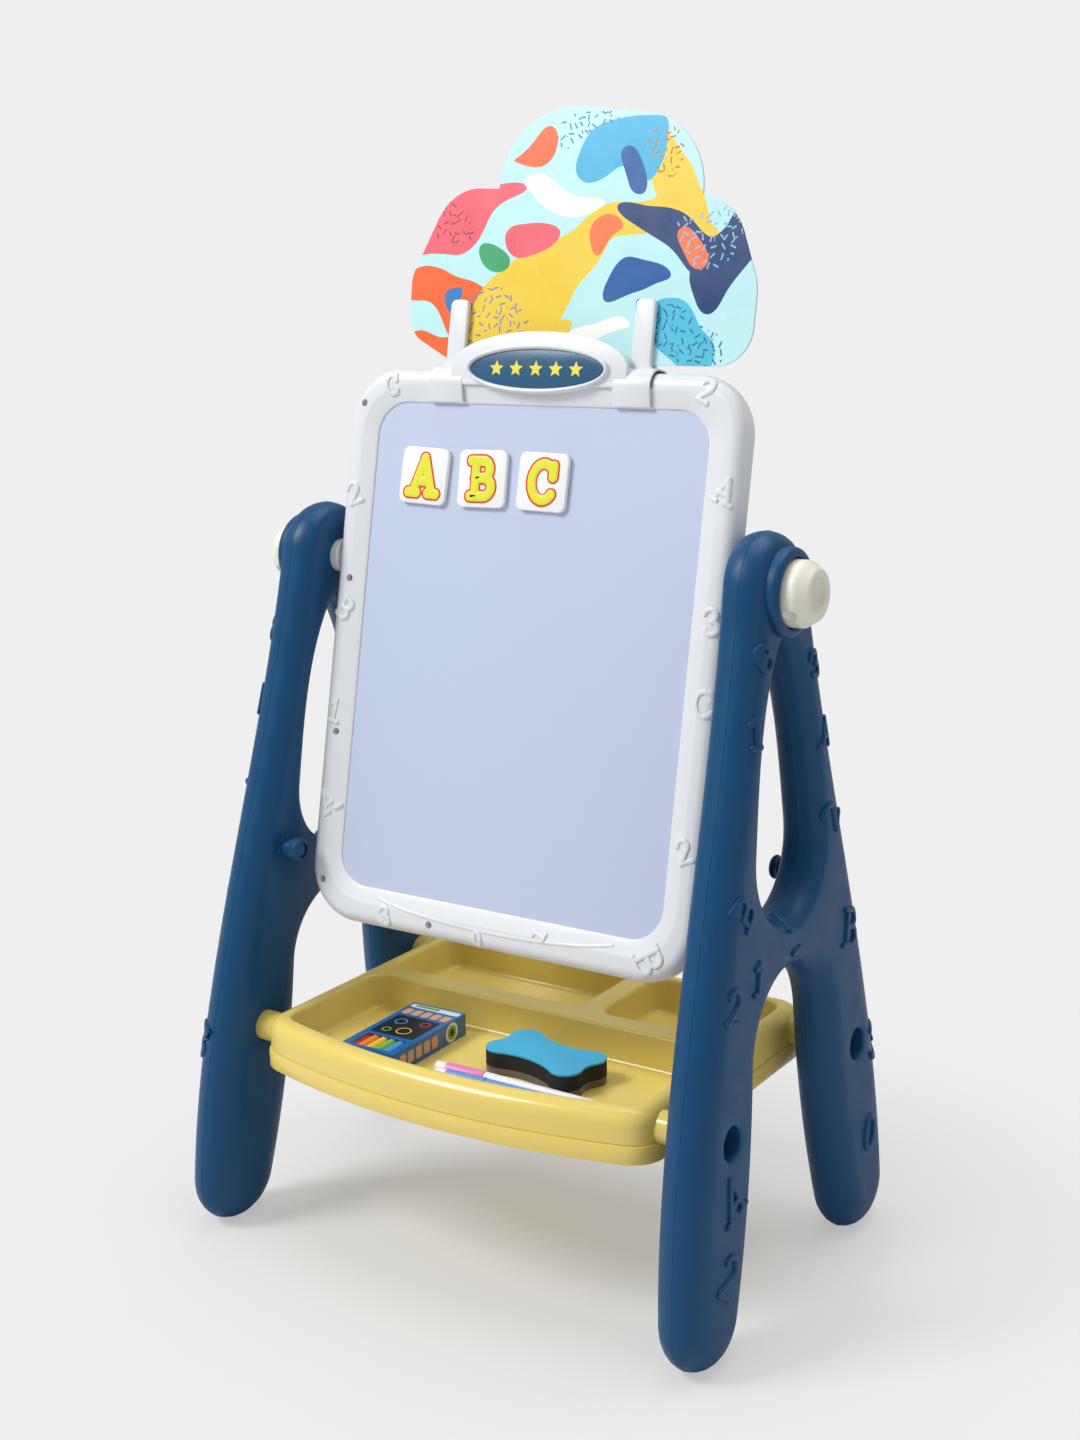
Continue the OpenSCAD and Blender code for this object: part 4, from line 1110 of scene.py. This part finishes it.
def bowed_plan(d, side_x, bow_r, r, y_rear, r_rear, steps=10):
    """A plan with a bowed front edge, moved in by d."""
    bow_y = BOW_R - TRAY_FRONT
    corner_x = side_x - r
    spread = degrees(acos(sqrt(1 - (corner_x / (bow_r - r)) ** 2)))
    corner_y = bow_y - (bow_r - r) * cos(radians(spread))
    front = arc(0, bow_y, bow_r - d, 270 - spread, 270 + spread, 24)[1:-1]
    return (
        arc(corner_x, corner_y, r - d, spread - 90, 0, steps)
        + arc(side_x - r_rear, y_rear - r_rear, r_rear - d, 0, 90, steps)
        + arc(r_rear - side_x, y_rear - r_rear, r_rear - d, 90, 180, steps)
        + arc(-corner_x, corner_y, r - d, 180, 270 - spread, steps)
        + front
    )


def tray_plan(d):
    return bowed_plan(d, TRAY_HALF, BOW_R, 28, TRAY_REAR, 25)


def front_plan(d):
    return bowed_plan(d, TRAY_HALF - RIM_W, BOW_R - RIM_W, 16, FRONT_END, 16)


def rear_left_plan(d):
    return rounded(RIM_W - TRAY_HALF + d, PARTING[0] - d, REAR_START + d, TRAY_REAR - RIM_W - d, 14 - d, 10)


def rear_right_plan(d):
    return rounded(PARTING[1] + d, TRAY_HALF - RIM_W - d, REAR_START + d, TRAY_REAR - RIM_W - d, 14 - d, 10)


def tray_shape():
    """The tray's thin skin: a rounded rim over a stepped skirt, three compartments and a hollow underside."""
    shape = Shape()

    def levels(plan, steps):
        """A loop for each (distance that the plan moves in, height)."""
        return [shape.loop([(p[0], p[1], z) for p in plan(d)]) for d, z in steps]

    step_z = TRAY_FOOT + 14
    steps = [
        (2.0, TRAY_FOOT), (0.3, TRAY_FOOT), (0, TRAY_FOOT + 0.5), (0, step_z - 1.2), (0.5, step_z - 0.2),
        (SKIRT_STEP + 0.7, step_z + 0.2), (SKIRT_STEP, step_z + 1.2),
    ]
    steps += [(SKIRT_STEP + RIM_R * grow, TRAY_TOP - RIM_R * back) for grow, back in quarter(10)]
    outside = levels(tray_plan, steps)
    shape.walls(outside)
    mouths = []
    roofs = []
    lip_r = 3.2
    slope = 3.6
    floor_r = 5.0
    for plan in (front_plan, rear_left_plan, rear_right_plan):
        steps = [(-lip_r * back, TRAY_TOP - lip_r * grow) for grow, back in quarter(4)[:-1]]
        steps += [(0.3, TRAY_TOP - 4.5), (slope, TRAY_FLOOR + floor_r)]
        steps += [(slope + 4.2 * grow, TRAY_FLOOR + floor_r * back) for grow, back in quarter(4)[1:]]
        basin = levels(plan, steps)
        shape.walls(basin)
        shape.cap(basin[-1])
        mouths.append(basin[0])
        under = levels(plan, [
            (-TRAY_WALL, TRAY_TOP - TRAY_WALL), (1 - TRAY_WALL, TRAY_TOP - 8), (2.0, TRAY_FLOOR + 2),
            (5.5, TRAY_FLOOR - TRAY_WALL),
        ])
        shape.walls(under)
        shape.cap(under[-1])
        roofs.append(under[0])
    shape.cap(outside[-1], *mouths)
    lining = SKIRT_STEP + TRAY_WALL
    inside = [outside[0]] + levels(tray_plan, [
        (lining, TRAY_FOOT), (lining, TRAY_TOP - 12), (lining + 4, TRAY_TOP - TRAY_WALL - 2),
        (lining + 8, TRAY_TOP - TRAY_WALL),
    ])
    shape.walls(inside)
    shape.cap(inside[-1], *roofs)
    return shape


def build_tray():
    tray_shape().build("tray_shell", YELLOW, "stand", replaces=["tray"])
    peg_r = 12.5
    bore_r = 10.0
    start = TRAY_HALF - SKIRT_STEP - TRAY_WALL
    end = inner_face(PEG_Z) + 25
    profile = [
        (bore_r, start), (peg_r, start), (peg_r, end - 1.2), (peg_r - 0.3, end - 0.4), (peg_r - 1, end),
        (bore_r, end),
    ]
    for side, sign in (("left", -1), ("right", 1)):
        for spot, y in (("front", -PEG_Y), ("rear", PEG_Y)):
            peg = lathe(profile, 48, closed=True)
            peg.build(f"tray_peg_{spot}_{side}", YELLOW, "stand", along_x(0, y, PEG_Z, sign))


# ---- Eraser ----------------------------------------------------------------------------------

ERASER_PLACE = at(44, -52.5, TRAY_FLOOR, -10)


def eraser_outline():
    """A bone shape: four lobes with a shallow waist between them on every side."""
    lobe_r = 13.0
    lobe_x = 47.0 - lobe_r
    lobe_y = 27.0 - lobe_r
    tuck = 28
    corners = ((lobe_x, lobe_y), (-lobe_x, lobe_y), (-lobe_x, -lobe_y), (lobe_x, -lobe_y))
    lobes = [
        arc(x, y, lobe_r, 90 * i - tuck, 90 * (i + 1) + tuck, 12) for i, (x, y) in enumerate(corners)
    ]
    points = []
    for lobe, following in zip(lobes, lobes[1:] + lobes[:1]):
        points += lobe + bend(lobe[-1], following[0], 16, -1)
    return points


def build_eraser():
    # Each layer: (name, lower side, upper side, look, how far its rims are rounded)
    layers = [("felt", 0, 6, FELT, 0.8), ("foam", 6, 18, FOAM, 0.5), ("cover", 18, 20, COVER, 0.6)]
    for name, low, high, look, edge in layers:
        layer = slab(eraser_outline(), low, high, edge)
        layer.build("eraser_" + name + "_layer", look, "eraser", ERASER_PLACE, replaces=["eraser_" + name])


# ---- Chalk -----------------------------------------------------------------------------------

CARTON_X = 26.0
CARTON_Y = 50.8
CARTON_TOP = 18.2
CARTON_WALL = 0.8
CHALK_PITCH = 8.2
CHALK_R = 4.0
CHALK_L = 98.0
# Printed layers lie this far over each other.
INK = 0.1


def carton_shape():
    """A folded box with a cut-out over the front ends of the chalks."""
    shape = Shape()
    inside_x = CARTON_X - CARTON_WALL
    inside_y = CARTON_Y - CARTON_WALL
    outer = rounded(-CARTON_X, CARTON_X, -CARTON_Y, CARTON_Y, 0.8, 2)
    inner = rounded(-inside_x, inside_x, -inside_y, inside_y, 0.3, 2)
    gap = rounded(-19.0, 19.0, 4.8 - CARTON_Y, 28.8 - CARTON_Y, 1.5, 4)

    def level(plan, z):
        return shape.loop([(p[0], p[1], z) for p in plan])

    low = level(outer, 0)
    high = level(outer, CARTON_TOP)
    gap_high = level(gap, CARTON_TOP)
    gap_low = level(gap, CARTON_TOP - CARTON_WALL)
    roof = level(inner, CARTON_TOP - CARTON_WALL)
    floor = level(inner, CARTON_WALL)
    shape.walls([low, high])
    shape.walls([gap_high, gap_low])
    shape.walls([roof, floor])
    for loops in ([low], [high, gap_high], [roof, gap_low], [floor]):
        shape.cap(*loops)
    return shape


def build_print(place):
    """The carton's plain printed shapes, on its top and its right side."""
    side = place @ SECTION
    top = CARTON_TOP
    # Printed areas: (name, ink, outline, level, place)
    prints = [
        ("panel", BLACK_INK, rounded(-21, 21, -18, 22, 2, 4), top, place),
        ("band", PALE_INK, rounded(-24, 24, 41, 48, 2, 4), top, place),
        ("band_leaf", GREEN_INK, rounded(-20, 4, 43, 47, 1.8, 4), top + INK, place),
        ("side_target", PALE_INK, circle(30, 9, 8.4), CARTON_X, side),
        ("side_leaf", GREEN_INK, circle(30, 9, 6.0), CARTON_X + INK, side),
        ("side_eye", BLACK_INK, circle(30, 9, 3.2), CARTON_X + 2 * INK, side),
    ]
    for i in range(5):
        block = rounded(9.4 * i - 22.4, 9.4 * i - 15.2, 26, 37, 1.6, 4)
        prints.append((f"block_{i}", TITLE_INK, block, top, place))
        block = rounded(11 * i - 42, 11 * i - 34, 4, 14, 1.6, 4)
        prints.append((f"side_block_{i}", TITLE_INK, block, CARTON_X, side))
    for name, ink, outline, level, spot in prints:
        slab(outline, level - INK, level + 0.12, 0).build("carton_" + name, ink, "chalk_box", spot)
    # Rings on the panel: (across, along, radius, number of the chalk whose colour they have)
    rings = [(-10, 10, 5.5, 4), (4, -6, 6.5, 2), (12, 13, 4.5, 0), (-11, -9, 4.0, 3)]
    line = 0.9
    for i, (x, y, r, ink) in enumerate(rings):
        profile = [(r, top), (r, top + 0.25), (r - line, top + 0.25), (r - line, top)]
        ring = lathe(profile, 32, closed=True)
        ring.build(f"carton_ring_{i}", CHALKS[ink], "chalk_box", place @ at(x, y))


def build_chalk():
    place = at(-83, -68, TRAY_FLOOR, 1)
    carton_shape().build("carton", CARTON, "chalk_box", place, replaces=["chalk_carton"])
    build_print(place)
    chamfer = 0.8
    end_r = CHALK_R - chamfer
    stick = [
        (0, 0), (end_r, 0), (CHALK_R, chamfer), (CHALK_R, CHALK_L - chamfer), (end_r, CHALK_L), (0, CHALK_L),
    ]
    for row in range(2):
        for column, look in enumerate(CHALKS):
            x = (column - 2.5) * CHALK_PITCH
            z = CARTON_WALL + 0.2 + CHALK_R + row * CHALK_PITCH
            lay = place @ at(x, -CHALK_L / 2, z) @ Matrix.Rotation(radians(-90), 4, "X")
            replaced = ["chalk_sticks"] if row == column == 0 else ()
            lathe(stick, 24).build(f"chalk_{row}_{column}", look, "chalk_box", lay, replaces=replaced)


# ---- Markers ---------------------------------------------------------------------------------

MARKER_L = 154.0
CAP_L = 46.0
CAP_R = 5.0
# Each marker: (name, place of its cap's end, turn, tint, barrel)
MARKERS = [
    ("pink", (-33.5, -91.7), 1.3, PINK, BARREL), ("blue", (-26, -102.4), 1.8, SKY, SKY),
    ("yellow", (-37, -113.2), 1.9, LEMON, LEMON),
]


def build_markers():
    tail = MARKER_L - 4
    # Profiles as (radius, distance from the cap's end)
    barrel = [
        (0, CAP_L - 24), (3.55, CAP_L - 24), (3.6, CAP_L - 23.5), (3.6, CAP_L), (4.3, CAP_L + 0.2),
        (4.6, CAP_L + 0.6), (4.5, CAP_L + 8), (3.0, tail - 8), (2.8, tail), (0, tail),
    ]
    plug = [(0, tail - 0.3), (2.7, tail - 0.3), (2.7, tail), (2.5, tail + 3), (1.8, MARKER_L), (0, MARKER_L)]
    sleeve = [(3.7, 10), (4.7, 10), (CAP_R, 10.4), (CAP_R, CAP_L - 0.5), (4.8, CAP_L), (3.7, CAP_L)]
    end = [(0, 0), (3.2, 0), (4.2, 0.7), (4.5, 2), (4.5, 9.9), (0, 9.9)]
    for name, (x, y), turn, tint, body in MARKERS:
        place = at(x, y, TRAY_FLOOR + CAP_R, turn) @ Matrix.Rotation(radians(90), 4, "Y")
        pieces = [
            ("barrel", barrel, body, "marker_", False), ("tail_plug", plug, tint, "marker_", False),
            ("cap", sleeve, tint, "cap_", True), ("cap_plug", end, BARREL, "cap_", False),
        ]
        for part, profile, look, rider, hollow in pieces:
            node = f"marker_{part}_{name}"
            turned = lathe(profile, 32, closed=hollow)
            turned.build(f"{part}_{name}", look, rider + name, place, replaces=[node])


# ---- CAD nodes that stay ---------------------------------------------------------------------

def finish_nodes():
    """Gives the CAD nodes that are shown as they are their materials."""
    kept = {
        ENAMEL: ["whiteboard_panel"],
        SLATE: ["blackboard_panel"],
        CORE: ["core_board"],
        STEEL: ["board_screws", "spindle_nut_left", "spindle_nut_right", "knob_bolt_left", "knob_bolt_right"],
        MAGNET: ["tile_magnet_a", "tile_magnet_b", "tile_magnet_c"],
        NIB: ["marker_nib_pink", "marker_nib_blue", "marker_nib_yellow"],
    }
    for look, names in kept.items():
        for name in names:
            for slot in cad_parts[name].material_slots:
                slot.material = look.material


# ---- Stage -----------------------------------------------------------------------------------

BACKDROP = "#EFEFEF"


def floor_look():
    """A pale matt floor that keeps the shadows near the easel and fades into the backdrop further out."""
    look = finish(
        "Studio floor", "", "#E0E0E0", "#DEDEDE", rough=0.8, spread=0.02, grain=5, height=0.005, patch=300.0,
    )
    material = look.material
    nodes = material.node_tree.nodes
    place = own_place(material)
    # Metres from the middle over which the floor fades, and how far it has done so at the start
    span = [("Value", distance(material, place)), ("From Min", 0.1), ("From Max", 0.6), ("To Min", 0.35)]
    far = add_node(material, "ShaderNodeMapRange", span, interpolation_type="SMOOTHSTEP")
    path = add_node(material, "ShaderNodeLightPath")
    seen = add_node(material, "ShaderNodeEmission", [("Color", srgb(BACKDROP)), ("Strength", 1.0)])
    share = product(material, far.outputs["Result"], path.outputs["Is Camera Ray"])
    lit = nodes["Principled BSDF"].outputs[0]
    blend = add_node(material, "ShaderNodeMixShader", [(0, share), (1, lit), (2, seen.outputs[0])])
    feed(nodes["Material Output"], [("Surface", blend.outputs[0])])
    return look


def build_surround():
    """A white light from all round, which the camera sees as the plain backdrop."""
    world = bpy.data.worlds.new("Studio")
    bpy.context.scene.world = world
    world.use_nodes = True
    nodes = world.node_tree.nodes
    light = nodes["Background"]
    feed(light, [("Color", (1.0, 1.0, 1.0, 1.0)), ("Strength", 0.42)])
    seen = add_node(world, "ShaderNodeBackground", [("Color", srgb(BACKDROP))])
    path = add_node(world, "ShaderNodeLightPath").outputs["Is Camera Ray"]
    blend = add_node(world, "ShaderNodeMixShader", [(0, path), (1, light.outputs[0]), (2, seen.outputs[0])])
    feed(nodes["World Output"], [("Surface", blend.outputs[0])])


def build_stage():
    """A wide pale floor, a plain pale surround and soft lamps."""
    ground = Shape()
    bmesh.ops.create_grid(ground.work, x_segments=1, y_segments=1, size=9000)
    floor = ground.solid("floor", at(0, 0, -0.5))
    # A flat sheet has no outside, and its face comes out downwards.
    floor.data.flip_normals()
    floor.data.materials.append(floor_look().material)
    build_surround()

    # Soft lamps: (name, place, target, size, power in watts)
    lamps = [
        ("Key", (-2.0, -2.2, 3.2), (0, 0, 0.45), 1.4, 115.0),
        ("Top", (0.3, 0.8, 3.6), (0, 0, 0.4), 2.4, 48.0),
        ("Fill", (3.2, -1.0, 1.4), (0, 0, 0.45), 1.6, 4.0),
    ]
    for name, spot, target, size, power in lamps:
        data = bpy.data.lights.new(name, "AREA")
        data.size = size
        data.energy = power
        lamp = bpy.data.objects.new(name, data)
        lamp.location = spot
        lamp.rotation_euler = (Vector(target) - Vector(spot)).to_track_quat("-Z", "Y").to_euler()
        bpy.context.scene.collection.objects.link(lamp)


def add_camera():
    """The camera stands front right of the easel and looks slightly down."""
    azimuth = radians(33.24)
    elevation = radians(12.99)
    roll = radians(-0.77)
    right = Vector((cos(azimuth), sin(azimuth), 0))
    back = Vector((sin(azimuth) * cos(elevation), -cos(azimuth) * cos(elevation), sin(elevation)))
    up = back.cross(right)
    tilted_right = right * cos(roll) + up * sin(roll)
    tilted_up = up * cos(roll) - right * sin(roll)
    data = bpy.data.cameras.new("Camera")
    data.sensor_fit = "VERTICAL"
    data.sensor_height = 36.0
    data.lens = 48.18875
    data.clip_start = 0.05
    data.clip_end = 60
    camera = bpy.data.objects.new("Camera", data)
    place = Matrix.Translation((0.81696, -1.23387, 0.76678))
    camera.matrix_world = place @ Matrix((tilted_right, tilted_up, back)).transposed().to_4x4()
    bpy.context.scene.collection.objects.link(camera)
    bpy.context.scene.camera = camera


def main():
    build_side_frames()
    build_stops()
    build_pivots()
    build_board()
    build_header()
    build_card()
    build_tiles()
    build_tray()
    build_eraser()
    build_chalk()
    build_markers()
    finish_nodes()
    build_stage()
    add_camera()
    bpy.context.scene.view_settings.view_transform = "Standard"


main()
